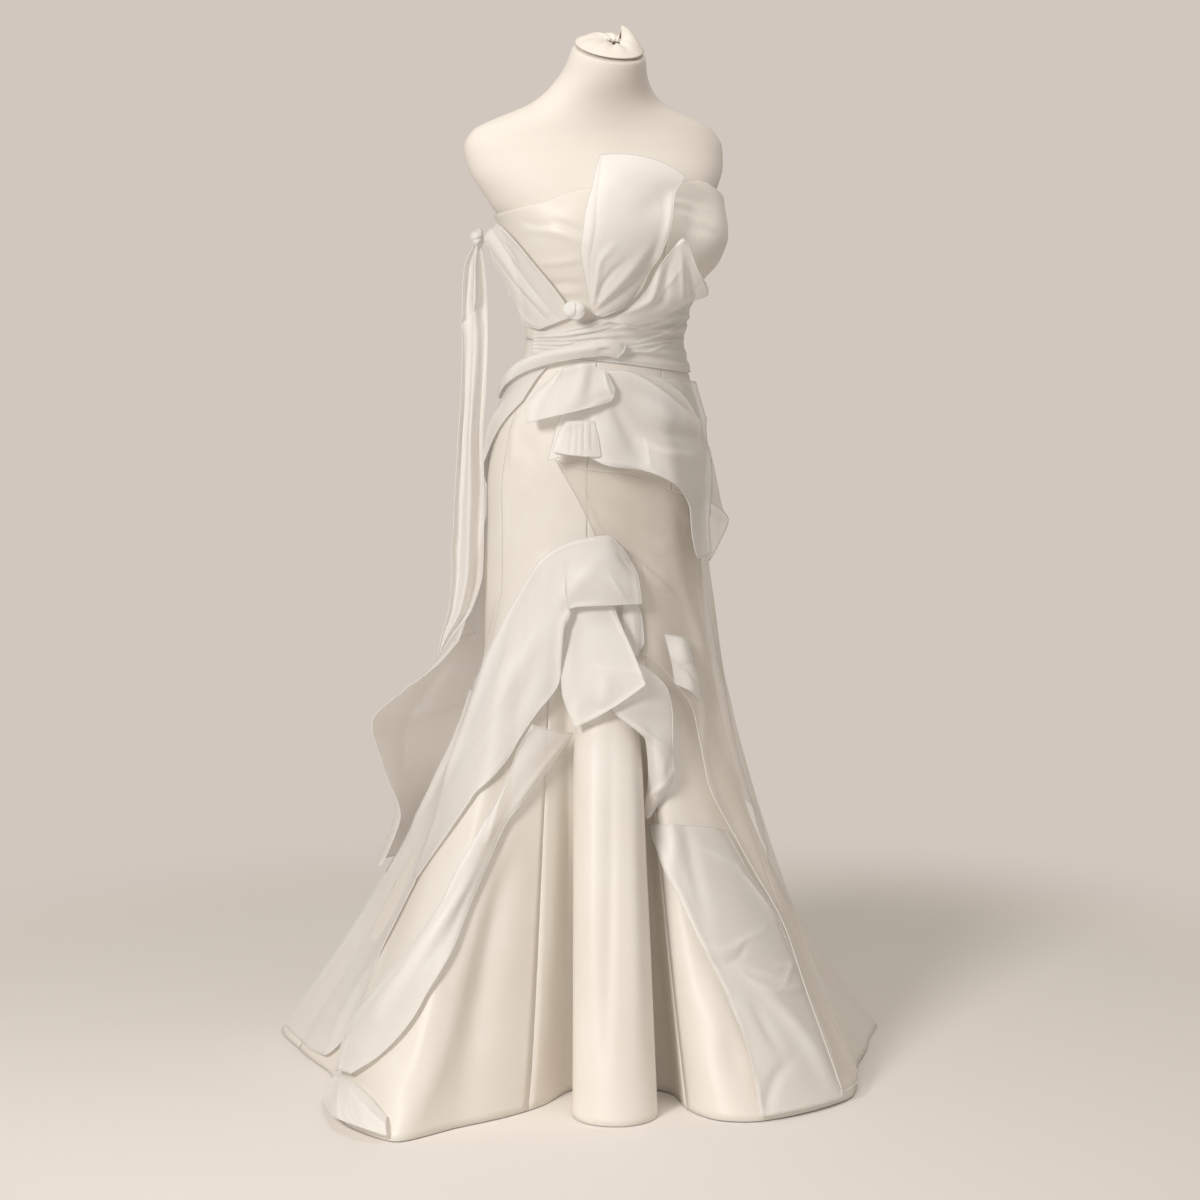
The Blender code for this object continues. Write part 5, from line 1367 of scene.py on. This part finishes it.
        ("sharp", 3, 3, 0.8, 2.6, 1.2, 545, 710, 520, 745, 497, 795, 480, 835, 462, 866),
        ("sharp", 3, 3, 0.6, 2, 0.8, 511, 774, 500, 800, 487, 841),
        ("soft", 6, 9, 1, 3.6, 1.6, 501, 818, 470, 880, 420, 950, 378, 1012),
        ("soft", 6, 8, -0.6, -2.6, -1.2, 526, 770, 500, 826, 482, 862, 450, 930, 410, 990),
        ("soft", 3, 4, 0.8, 1.8, 1,
         574, 729, 530, 785, 500, 835, 470, 900, 440, 975, 398, 1042, 350, 1078),
        ("sharp", 2.5, 2.5, -0.8, -2.2, -0.8, 560, 722, 567, 726, 574, 730),
    ],
    "knee_flap": [
        ("soft", 10, 9, -0.8, -3.4, -1.6, 573, 622, 570, 660, 566, 702),
        ("sharp", 2.5, 2.5, 0.8, 2, 1, 591, 664, 620, 670, 646, 675),
        ("soft", 7, 8, 0.4, 1.8, 0.6, 604, 672, 604, 690, 600, 708),
        ("soft", 2.5, 2.5, 0.8, 1.4, 0.8, 575, 727, 612, 708, 645, 685),
        ("soft", 2.5, 2.5, 0.6, 1.4, 0.8, 609, 606, 634, 655, 645, 683),
    ],
    "knee_tab": [
        ("sharp", 1.8, 1.8, -0.8, -2.2, -0.8, 621, 604, 623, 609, 625, 615),
        ("soft", 3, 3, 0.3, 1.2, 0.3, 632, 610, 634, 632, 638, 650),
    ],
    "second_flap": [
        ("soft", 3, 3, 1, 2.2, 1.2, 612, 708, 640, 729, 668, 750),
        ("sharp", 3, 3, -0.8, -2.8, -1, 675, 683, 677, 724, 675, 766),
        ("soft", 3, 3, 0.8, 1.8, 0.8, 676, 765, 665, 783, 648, 798, 646, 818),
        ("soft", 6, 6, -0.8, -3.2, -1, 650, 734, 651, 764, 649, 792),
        ("soft", 4, 5, 0.6, 2, 0.8, 664, 760, 662, 780, 656, 796),
    ],
    "side_fold": [
        ("soft", 8, 8, 0.8, 3, 1, 681, 634, 682, 650, 688, 664),
        ("soft", 8, 8, 0.8, 2.8, 1, 686, 664, 691, 682, 688, 698),
        ("sharp", 2.5, 2.5, -0.8, -2.6, -1, 671, 661, 688, 672, 696, 686),
    ],
    "back_wing": [
        ("soft", 5, 5, 0.7, 1.7, 0.7, 465, 699, 420, 715, 400, 722, 375, 725),
        ("soft", 3, 3, 0.8, 1.6, 1, 462, 640, 417, 680, 370, 722, 391, 800, 405, 836),
        ("soft", 7, 7, -0.6, -2.6, -0.8, 450, 660, 430, 690, 420, 712),
    ],
    "hem_petals": [
        ("sharp", 2.5, 2.5, 0.6, 1.8, 0.6, 340, 1080, 338, 1110, 345, 1129),
        ("sharp", 2.5, 2.5, 0.6, 1.8, 0.6, 350, 1088, 346, 1110, 360, 1130, 386, 1141),
        ("sharp", 2.5, 2.5, 0.6, 2, 0.6, 350, 1088, 368, 1110, 385, 1125, 398, 1134),
        ("soft", 4, 4, -0.4, -1.8, -0.4, 346, 1090, 356, 1118, 374, 1134),
    ],
}


# %% Folds on the sides that the wearer's left, the back and the right show
LEFT_FOLDS = {
    "shoulder_drape": [
        ("soft", 5, 5, 0.4, 1.8, 0.6, 520, 240, 560, 280, 600, 306),
    ],
    "waist_wrap": [
        ("lap", 3, 3, 0.8, 2.2, 0.8, 520, 322, 560, 332, 612, 330),
        ("sharp", 2.5, 2.5, -0.8, -2.2, -0.8, 540, 342, 600, 348, 660, 338),
        ("lap", 3, 3, 0.8, 2, 0.8, 580, 318, 630, 326, 680, 320),
    ],
    "peplum_flounce": [
        ("lap", 5, 6, 1, 3.2, 1.2, 540, 372, 570, 410, 584, 456),
        ("soft", 7, 9, -0.8, -3, -1, 572, 380, 602, 420, 618, 470),
        ("soft", 8, 10, 0.8, 3.2, 1.2, 620, 378, 640, 420, 664, 470),
        ("sharp", 3, 3, 0.4, 1.8, 0.5, 600, 420, 626, 432, 652, 430),
    ],
    "side_overlay": [
        ("soft", 9, 13, 0.8, 3.4, 1.2, 548, 480, 560, 600, 580, 720),
        ("soft", 9, 13, -0.8, -3.4, -1.2, 580, 490, 604, 620, 622, 760),
        ("soft", 10, 14, 0.8, 3.2, 1.4, 612, 560, 646, 720, 670, 900),
        ("sharp", 4, 4, 0.4, 2, 0.6, 560, 520, 592, 536, 622, 530),
        ("soft", 9, 12, 0.6, 3, 1.4, 596, 760, 600, 900, 604, 1040),
    ],
    "knee_arch": [
        ("soft", 9, 13, 0.8, 3.4, 1.2, 640, 600, 676, 720, 726, 840),
        ("soft", 9, 13, -0.8, -3.2, -1.2, 664, 590, 710, 700, 770, 800),
    ],
}
BACK_FOLDS = {
    "shoulder_drape": [
        ("soft", 4, 5, 0.6, 2.2, 0.8, 700, 236, 672, 264, 650, 300),
        ("sharp", 3, 3, -0.6, -2.2, -0.8, 712, 248, 690, 280, 670, 310),
    ],
    "waist_wrap": [
        ("lap", 3, 3, 0.8, 2.2, 0.8, 530, 322, 580, 332, 640, 324),
        ("sharp", 2.5, 2.5, -0.8, -2.2, -0.8, 540, 344, 600, 350, 650, 342),
        ("lap", 3, 3, 0.8, 2.2, 0.8, 590, 318, 640, 326, 690, 318),
    ],
    "peplum_flounce": [
        ("lap", 5, 6, 1, 3.2, 1.2, 530, 374, 544, 412, 548, 460),
        ("soft", 8, 9, -0.8, -3, -1, 560, 376, 580, 420, 590, 470),
        ("soft", 8, 10, 0.8, 3.2, 1.2, 612, 374, 622, 420, 634, 470),
        ("sharp", 3, 3, 0.4, 1.8, 0.5, 560, 424, 590, 436, 616, 432),
    ],
    "side_overlay": [
        ("soft", 9, 13, 0.8, 3.4, 1.2, 500, 500, 520, 620, 548, 760),
        ("soft", 9, 13, -0.8, -3.2, -1.2, 540, 520, 560, 660, 566, 800),
    ],
    "knee_arch": [
        ("soft", 10, 16, 0.8, 4, 1.6, 560, 560, 520, 680, 462, 800),
        ("soft", 10, 16, -0.8, -3.8, -1.6, 590, 580, 566, 720, 520, 860),
        ("soft", 10, 16, 0.8, 3.8, 1.6, 640, 560, 672, 700, 728, 840),
        ("soft", 10, 16, -0.8, -3.6, -1.4, 668, 570, 716, 700, 790, 850),
        ("sharp", 4, 4, 0.4, 2.2, 0.6, 600, 640, 634, 656, 668, 648),
        ("sharp", 4, 4, 0.4, 2, 0.6, 730, 800, 762, 822, 796, 820),
    ],
    "back_wing": [
        ("soft", 6, 8, 0.8, 3, 1.2, 690, 620, 724, 700, 760, 780),
        ("soft", 6, 8, -0.8, -2.8, -1, 712, 640, 752, 720, 786, 800),
    ],
}
RIGHT_FOLDS = {
    "shoulder_drape": [
        ("soft", 4, 5, 0.6, 2.2, 0.8, 560, 236, 600, 276, 636, 312),
        ("sharp", 3, 3, -0.6, -2.4, -0.8, 546, 252, 580, 290, 616, 322),
        ("sharp", 2.5, 3, -0.4, -1.6, -0.5, 580, 236, 606, 262, 630, 290),
    ],
    "shoulder_tail": [
        ("soft", 4, 5, 0.6, 2.2, 0.8, 596, 280, 600, 400, 604, 520),
        ("sharp", 3, 3, -0.6, -2.2, -0.8, 610, 300, 612, 420, 606, 560),
    ],
    "waist_wrap": [
        ("lap", 3, 3, 0.8, 2.2, 0.8, 540, 322, 580, 330, 640, 326),
        ("sharp", 2.5, 2.5, -0.8, -2.2, -0.8, 550, 344, 610, 348, 656, 340),
    ],
    "hip_drape_right": [
        ("soft", 6, 8, 0.8, 2.4, 0.8, 640, 410, 620, 440, 612, 480),
        ("sharp", 3, 3, -0.6, -2.2, -0.8, 622, 410, 600, 440, 590, 480),
    ],
    "knee_arch": [
        ("soft", 10, 16, 0.8, 4, 1.6, 600, 560, 590, 700, 560, 860),
        ("soft", 10, 16, -0.8, -3.8, -1.6, 630, 560, 632, 720, 622, 880),
        ("soft", 10, 16, 0.8, 3.8, 1.4, 664, 570, 690, 720, 720, 880),
        ("sharp", 4, 4, 0.4, 2.2, 0.6, 580, 680, 612, 700, 650, 696),
    ],
    "back_wing": [
        ("soft", 6, 8, 0.8, 3, 1.2, 640, 640, 664, 720, 690, 790),
        ("soft", 6, 8, -0.8, -2.8, -1, 610, 650, 640, 740, 664, 820),
    ],
}
ORGANZA_SIGHTS = [(CAMERA_TURN, FRONT_FOLDS), (66.0, LEFT_FOLDS), (156.0, BACK_FOLDS), (-114.0, RIGHT_FOLDS)]
print("folds in the organza:", sum(len(rows) for _, folds in ORGANZA_SIGHTS for rows in folds.values()))


# %% Make a sheet of organza with its folds and its rolled hem
# The sheets of one layer that lie in shadow. Their darker and warmer colour is painted shade.
SHADED_SINGLE_LAYERS = ("side_overlay", "peplum_corner")


def organza_sheet(node, place, columns, rows, extra=None):
    piece = flat_cut(node + "_cloth", columns, rows)
    sights = [(bearing, folds[node]) for bearing, folds in ORGANZA_SIGHTS if node in folds]
    worn = carry(piece, place, sights, extra)
    width, length, area = measure(worn, columns, rows)
    scale_uv(piece, width, length)
    # Sheets in shadow take the sheer organza, whose colour carries painted shade.
    piece.data.materials.append(shaded_sheer_organza if node in SHADED_SINGLE_LAYERS else silk_organza)
    piece.data.materials.append(organza_inside)
    thin_wall(piece, ORGANZA_WALL, inside_offset=1)
    roll_hem(piece, worn, columns, rows, HEM_RADIUS, rolled_hem)
    MADE[node] = (piece, "silk_organza", width, length, area)


def pleats(count, rise):
    """Rounded pleats side by side up a sheet, each one a ridge."""

    def lift(along, up):
        return rise * (0.5 - 0.5 * np.cos(2 * math.pi * count * up))

    return lift


# %% Drape the organza
TUCK = 0.0045
TUCK_RUN = 0.035
WRAP_PLEATS = 6
WRAP_PLEAT_RISE = 0.0016


def tucked(along, up):
    """The sheet's upper edge sinks into the fold that it comes out of."""
    return -TUCK * np.exp(-((1 - up) / TUCK_RUN))


# Columns: node, how its table is read, the table, columns and rows of points, what is added to its folds.
ORGANZA = (
    ("bust_fan", rising, BUST_FAN, 84, 96, None),
    ("bust_point", rising, BUST_POINT, 64, 72, None),
    ("shoulder_drape", running, SHOULDER_DRAPE, 96, 84, None),
    ("waist_wrap", running, WAIST_WRAP, 200, 64, pleats(WRAP_PLEATS, WRAP_PLEAT_RISE)),
    ("waist_sash", running, WAIST_SASH, 150, 28, None),
    ("hip_drape_right", running, HIP_DRAPE_RIGHT, 90, 56, None),
    ("bow_fan", rising, BOW_FAN, 72, 56, None),
    ("bow_loop", rising, BOW_LOOP, 40, 36, None),
    ("peplum_flounce", running, PEPLUM, 150, 76, None),
    ("peplum_corner", running, PEPLUM_CORNER, 96, 48, None),
    ("side_overlay", running, SIDE_OVERLAY, 170, 100, None),
    ("knee_arch", running, KNEE_ARCH, 190, 96, None),
    ("knee_flap", hanging, KNEE_FLAP, 60, 76, None),
    ("knee_tab", rising, KNEE_TAB, 24, 34, None),
    ("second_flap", hanging, SECOND_FLAP, 48, 84, None),
    ("side_fold", rising, SIDE_FOLD, 32, 44, None),
    ("side_cascade", rising, SIDE_CASCADE, 76, 130, tucked),
    ("hem_strip", rising, HEM_STRIP, 44, 150, None),
    ("back_wing", rising, BACK_WING, 72, 120, None),
    ("hem_petals", running, HEM_PETALS, 90, 40, None),
)

for node, reader, table, columns, rows, extra in ORGANZA:
    organza_sheet(node, reader(table), columns, rows, extra)


# %% The tail that hangs free from the knot at the wearer's right
# The tail that hangs from the side knot. Columns: height, distance of its middle aside from the axis,
# distance forwards, half width, fold depth.
TAIL = (
    (0.612, -0.240, 0.020, 0.001, 0.001),
    (0.640, -0.228, 0.020, 0.008, 0.004),
    (0.680, -0.208, 0.020, 0.017, 0.009),
    (0.740, -0.197, 0.020, 0.023, 0.012),
    (0.830, -0.194, 0.020, 0.022, 0.010),
    (0.930, -0.192, 0.020, 0.018, 0.012),
    (1.000, -0.188, 0.020, 0.017, 0.009),
    (1.092, -0.184, 0.016, 0.018, 0.004),
    (1.150, -0.184, 0.014, 0.018, 0.012),
    (1.185, -0.184, 0.012, 0.015, 0.010),
    (1.218, -0.180, 0.010, 0.005, 0.003),
)
# The tail is folded in waves across its width, and leans to one side.
TAIL_WAVES = 0.75
TAIL_LEAN = 0.5
TAIL_COLUMNS = 44
TAIL_ROWS = 150


def shoulder_tail():
    heights = column(TAIL, 0)

    def place(along, up):
        height = smooth(np.linspace(0, 1, len(TAIL)), heights, up)
        middle, forward, half, fold = (smooth(heights, column(TAIL, k), height) for k in range(1, 5))
        across = 2 * along - 1
        ridge = fold * (np.cos(2 * math.pi * TAIL_WAVES * across) + TAIL_LEAN * across)
        return facing(HANGING_BEARING, middle + half * across, height, forward + ridge + ORGANZA_FACE)

    organza_sheet("shoulder_tail", place, TAIL_COLUMNS, TAIL_ROWS)


shoulder_tail()


# %% [markdown]
# ## The knots
#
# Where a length of organza is drawn through a loop of itself it makes a small hard knot. A ball is the
# start, and wraps are raised round it. The two balls stand for knots and aren't tied.


# %% Make the knots
# Knots. Columns: station, height, out, half sizes aside, outwards and upwards.
SIDE_KNOT = (-112.0, 1.246, 0.039, 0.012, 0.010, 0.013)
WAIST_KNOT = (-38.5, 1.140, 0.026, 0.017, 0.008, 0.013)
# The wraps are ridges round the ball, as a share of its size. They turn as they run across it.
WRAPS = 3.0
WRAP_RISE = 0.14
WRAP_TURN = 2.0
OUT_STEP = 0.01
# Creases where the wraps dive under each other, as rows like the other folds. FOLD_DEPTH leaves these as
# they are written.
KNOT_FOLDS = (
    ("sharp", 2, 2, -4, -5, -3, 579, 295, 577, 306, 577, 320),
    ("sharp", 1.6, 1.6, -1.5, -3, -1, 565, 307, 571, 311, 575, 318),
    ("sharp", 1.6, 1.6, -1, -2.6, -1, 593, 302, 587, 309, 581, 317),
    ("sharp", 1.4, 1.4, -1, -1.8, -1, 570, 302, 573, 308, 575, 312),
    ("sharp", 1.6, 1.6, -2, -3, -2, 473, 241, 482, 238, 492, 234),
    ("sharp", 1.6, 1.6, -1.5, -2.4, -1, 477, 247, 485, 242, 493, 240),
)


def knot(node, station, height, out, aside, outwards, upwards):
    bpy.ops.object.select_all(action="DESELECT")
    bpy.ops.mesh.primitive_uv_sphere_add(segments=96, ring_count=64, radius=1.0)
    ball = bpy.context.object
    ball.name = node + "_cloth"
    centre = gown(station, height, out)
    ahead = gown(station, height, out + OUT_STEP) - centre
    ahead[2] = 0.0
    ahead /= np.linalg.norm(ahead)
    sideways = np.array([ahead[1], -ahead[0], 0.0])
    unit = np.empty(3 * len(ball.data.vertices))
    ball.data.vertices.foreach_get("co", unit)
    x, y, z = unit.reshape(-1, 3).T
    wraps = 1.0 + WRAP_RISE * np.cos(WRAPS * np.arctan2(z, y) + WRAP_TURN * x) * (1.0 - x * x)
    ways = np.stack([sideways * aside, ahead * outwards, np.array([0.0, 0.0, upwards])])
    spots = centre + np.stack([x, y * wraps, z * wraps], -1) @ ways
    normals = spots - centre
    normals /= np.linalg.norm(normals, axis=1, keepdims=True)
    spots += normals * folded(spots, normals, [(CAMERA_TURN, KNOT_FOLDS)])[:, None]
    ball.data.vertices.foreach_set("co", spots.ravel())
    ball.data.update()
    bpy.ops.object.shade_smooth()
    ball.data.materials.append(rolled_hem)
    MADE[node] = (ball, "silk_organza", 0.0, 0.0, 0.0)
    print(ball.name, "about", round(2000 * aside), "mm wide")


knot("side_knot", *SIDE_KNOT)
knot("waist_knot", *WAIST_KNOT)


# %% [markdown]
# ## The form and its stand
#
# The padded torso is covered in stretched jersey, whose gathered end closes over the neck. The torso is one
# sheet wrapped round the figure and drawn together below and above, and the cover's end is another.


# %% Jersey cover and stand paint
def jersey_finish():
    material, shader = new_material("cotton jersey")
    place = add_node(material, "ShaderNodeTexCoord").outputs["Object"]
    knit = add_node(material, "ShaderNodeTexNoise", {"Vector": place, "Scale": 700.0, "Detail": 2.0})
    bump = add_node(
        material, "ShaderNodeBump", {"Height": knit.outputs[0], "Strength": 0.25, "Distance": 0.0004}
    )
    shader.inputs["Base Color"].default_value = linear("#F1EAE1")
    shader.inputs["Roughness"].default_value = 0.85
    shader.inputs["Specular IOR Level"].default_value = 0.2
    material.node_tree.links.new(bump.outputs["Normal"], shader.inputs["Normal"])
    return material


def paint_finish():
    material, shader = new_material("powder-coated steel")
    place = add_node(material, "ShaderNodeTexCoord").outputs["Object"]
    peel = add_node(material, "ShaderNodeTexNoise", {"Vector": place, "Scale": 900.0, "Detail": 2.0})
    bump = add_node(
        material, "ShaderNodeBump", {"Height": peel.outputs[0], "Strength": 0.2, "Distance": 0.0003}
    )
    shader.inputs["Base Color"].default_value = linear("#E3DCD2")
    shader.inputs["Roughness"].default_value = 0.5
    material.node_tree.links.new(bump.outputs["Normal"], shader.inputs["Normal"])
    return material


cotton_jersey = jersey_finish()
stand_paint = paint_finish()


# %% The torso under its stretched cover
FORM_BOTTOM = 0.800
FORM_TOP = 1.500
NECK_SLANT = 0.36
NECK_SLANT_START = 1.43
FORM_COLUMNS = 128
FORM_STEP = 0.008
# The rings that close the torso. Columns: height, share of the way from the middle out to the figure.
FORM_LOW = ((0.800, 0.0), (0.800, 0.5), (0.800, 0.97), (0.801, 0.99))
FORM_HIGH = ((1.4945, 0.995), (1.497, 0.98), (1.499, 0.95), (1.5, 0.90), (1.5, 0.45), (1.5, 0.0))
FORM_RINGS_START = FORM_BOTTOM + 0.004
FORM_RINGS_END = FORM_TOP - 0.008
MERGE = 1e-5


def form_torso():
    body = [(height, 1.0) for height in np.arange(FORM_RINGS_START, FORM_RINGS_END, FORM_STEP)]
    rings = np.array([*FORM_LOW, *body, *FORM_HIGH])
    piece = flat_cut("form_torso_cover", FORM_COLUMNS, len(rings) - 1)
    along, up = flat_places(piece)
    height, share = rings[np.rint(up * (len(rings) - 1)).astype(int)].T
    edge = figure(360.0 * along - 180.0, height, 0.0, FORM_BUST)
    middle = figure(0.0, height, 0.0, FORM_BUST) / 2 + figure(180.0, height, 0.0, FORM_BUST) / 2
    spot = middle + (edge - middle) * share[:, None]
    slant = NECK_SLANT * np.clip((height - NECK_SLANT_START) / (FORM_TOP - NECK_SLANT_START), 0, 1)
    spot[:, 2] += slant * (spot[:, 1] - middle[:, 1])
    piece.data.vertices.foreach_set("co", spot.ravel())
    close_up(piece)
    piece.data.materials.append(cotton_jersey)
    MADE["form_torso"] = (piece, "form_jersey", 0.0, 0.0, 0.0)
    print(piece.name, len(piece.data.vertices), "points")


def close_up(piece):
    """Merges the points where the sheet meets itself."""
    bpy.ops.object.mode_set(mode="EDIT")
    bpy.ops.mesh.select_all(action="SELECT")
    bpy.ops.mesh.remove_doubles(threshold=MERGE)
    bpy.ops.mesh.normals_make_consistent(inside=False)
    bpy.ops.object.mode_set(mode="OBJECT")
    bpy.ops.object.shade_smooth()


form_torso()


# %% The gathered end of the cover over the neck
NECK_MIDDLE = (0.005, -0.022)
NECK_COVER_RADIUS = 0.050
NECK_HOLE_RADIUS = 0.010
NECK_HOLE_SHIFT = 0.008
NECK_COVER_GAP = 0.004
NECK_COVER_RISE = 0.010
NECK_GATHERS = 9
NECK_GATHER_RISE = 0.0022
NECK_GATHER_TURN = 1.4
NECK_DOME = 0.8
# The tuft of gathers stands at an angle round the neck, in radians.
TUFT_BEARING = 1.4
TUFT_SPREAD = 0.55
TUFT_RISE = 0.024
NECK_COLUMNS = 16 * NECK_GATHERS
NECK_ROWS = 24
NECK_COVER_WALL = 0.0010


def neck_cover():
    piece = flat_cut("form_neck_gathers", NECK_COLUMNS, NECK_ROWS)
    along, inward = flat_places(piece)
    angle = 2 * math.pi * along
    radius = NECK_COVER_RADIUS + (NECK_HOLE_RADIUS - NECK_COVER_RADIUS) * inward
    gather = NECK_GATHER_RISE * np.cos(NECK_GATHERS * angle + NECK_GATHER_TURN * inward)
    turn = (angle - TUFT_BEARING + math.pi) % (2 * math.pi) - math.pi
    tuft = TUFT_RISE * np.exp(-((turn / TUFT_SPREAD) ** 2))
    x = NECK_MIDDLE[0] + radius * np.sin(angle) + NECK_HOLE_SHIFT * inward
    y = NECK_MIDDLE[1] - radius * np.cos(angle)
    dome = NECK_COVER_RISE * np.sin(NECK_DOME * math.pi * inward)
    rise = NECK_COVER_GAP + dome + (gather + tuft) * inward
    spot = np.stack([x, y, FORM_TOP + rise + SATIN + NECK_SLANT * (y - NECK_MIDDLE[1])], -1)
    piece.data.vertices.foreach_set("co", spot.ravel())
    bpy.ops.object.mode_set(mode="EDIT")
    bpy.ops.mesh.select_all(action="SELECT")
    bpy.ops.mesh.remove_doubles(threshold=MERGE)
    bpy.ops.object.mode_set(mode="OBJECT")
    piece.data.materials.append(cotton_jersey)
    thin_wall(piece, NECK_COVER_WALL)
    MADE["form_neck_cover"] = (piece, "form_jersey", 0.0, 0.0, 0.0)


neck_cover()


# %% The pole and the base stay as they are, in powder-coated steel
for node in ("stand_pole", "stand_base"):
    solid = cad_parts[node]
    solid.data.materials.clear()
    solid.data.materials.append(stand_paint)


# %% [markdown]
# ## The cuts, and what each piece rests on
#
# A pattern cutter notes the width and length of the flat cloth that each piece takes, all round where it
# wraps the figure, and how much of that rectangle the tapered cut fills. Cloth hardly stretches, so these
# cuts were noted from the sheets measured along their threads, with folds as deep as their rows say. The
# script prints what each sheet measures now, with its folds made deeper, which is a little more. Two
# sheets, side_overlay and knee_arch, run out in long points and fill less than 0.3 of their rectangle, a
# share that the frame refuses. Theirs is noted narrower, so its width isn't the width of the cut.

# %% The cuts of the pieces; each piece hangs from the root and its solid is hidden
# Columns: width and length of the flat cut in metres, its area in square metres, how it is held, its rest.
CUTS = {
    "bodice_front": (0.29, 0.25, 0.054, "stretched", "form_torso"),
    "bodice_cup": (0.24, 0.27, 0.047, "stretched", "form_torso"),
    "bodice_back_left": (0.23, 0.19, 0.027, "stretched", "form_torso"),
    "bodice_back_right": (0.23, 0.20, 0.027, "stretched", "form_torso"),
    "skirt_front": (0.16, 0.37, 0.040, "draped", "form_torso"),
    "skirt_side_left": (0.20, 0.49, 0.056, "draped", "form_torso"),
    "skirt_side_right": (0.29, 0.53, 0.049, "draped", "form_torso"),
    "skirt_back_left": (0.35, 0.56, 0.139, "draped", "form_torso"),
    "skirt_back_right": (0.34, 0.56, 0.142, "draped", "form_torso"),
    "flare_front": (0.36, 0.80, 0.167, "hung", "skirt_front"),
    "flare_front_left": (0.38, 0.81, 0.164, "hung", "skirt_front"),
    "flare_side_left": (0.57, 0.73, 0.234, "hung", "skirt_side_left"),
    "flare_side_right": (0.77, 0.81, 0.326, "hung", "skirt_side_right"),
    "flare_back_left": (0.60, 0.64, 0.246, "hung", "skirt_back_left"),
    "flare_back_right": (0.59, 0.63, 0.238, "hung", "skirt_back_right"),
    "front_tube": (0.45, 0.61, 0.191, "hung", "skirt_front"),
    "back_placket": (0.03, 0.52, 0.011, "laid", "skirt_back_left"),
    "bust_fan": (0.14, 0.28, 0.028, "gathered", "bodice_front"),
    "bust_point": (0.12, 0.25, 0.010, "folded", "bodice_cup"),
    "shoulder_drape": (0.22, 0.13, 0.016, "gathered", "bodice_front"),
    "shoulder_tail": (0.09, 0.63, 0.042, "hung", "side_knot"),
    "waist_wrap": (0.54, 0.13, 0.047, "gathered", "form_torso"),
    "waist_sash": (0.42, 0.04, 0.011, "folded", "waist_wrap"),
    "hip_drape_right": (0.36, 0.22, 0.042, "draped", "skirt_side_right"),
    "bow_fan": (0.15, 0.10, 0.009, "gathered", "skirt_front"),
    "bow_loop": (0.08, 0.06, 0.003, "folded", "skirt_front"),
    "peplum_flounce": (0.43, 0.27, 0.056, "hung", "skirt_side_left"),
    "peplum_corner": (0.37, 0.21, 0.041, "hung", "skirt_side_left"),
    "side_overlay": (0.62, 0.94, 0.197, "draped", "skirt_side_left"),
    "knee_arch": (0.96, 0.62, 0.203, "draped", "skirt_side_right"),
    "knee_flap": (0.13, 0.19, 0.017, "folded", "front_tube"),
    "knee_tab": (0.04, 0.09, 0.002, "folded", "skirt_front"),
    "second_flap": (0.11, 0.26, 0.013, "folded", "flare_front_left"),
    "side_fold": (0.06, 0.09, 0.004, "folded", "side_overlay"),
    "side_cascade": (0.18, 0.47, 0.070, "draped", "flare_front_left"),
    "hem_strip": (0.19, 0.65, 0.046, "draped", "flare_front"),
    "back_wing": (0.26, 0.67, 0.106, "hung", "knee_arch"),
    "hem_petals": (0.24, 0.07, 0.010, "folded", "flare_front"),
}

for node, (piece, slot, width, length, area) in MADE.items():
    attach(piece, "root")
    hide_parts(node)
    if node in CUTS:
        print(node, "worn", round(width, 2), "by", round(length, 2), "m,", round(area, 3), "sq m")
print("sheets:", len(CUTS))
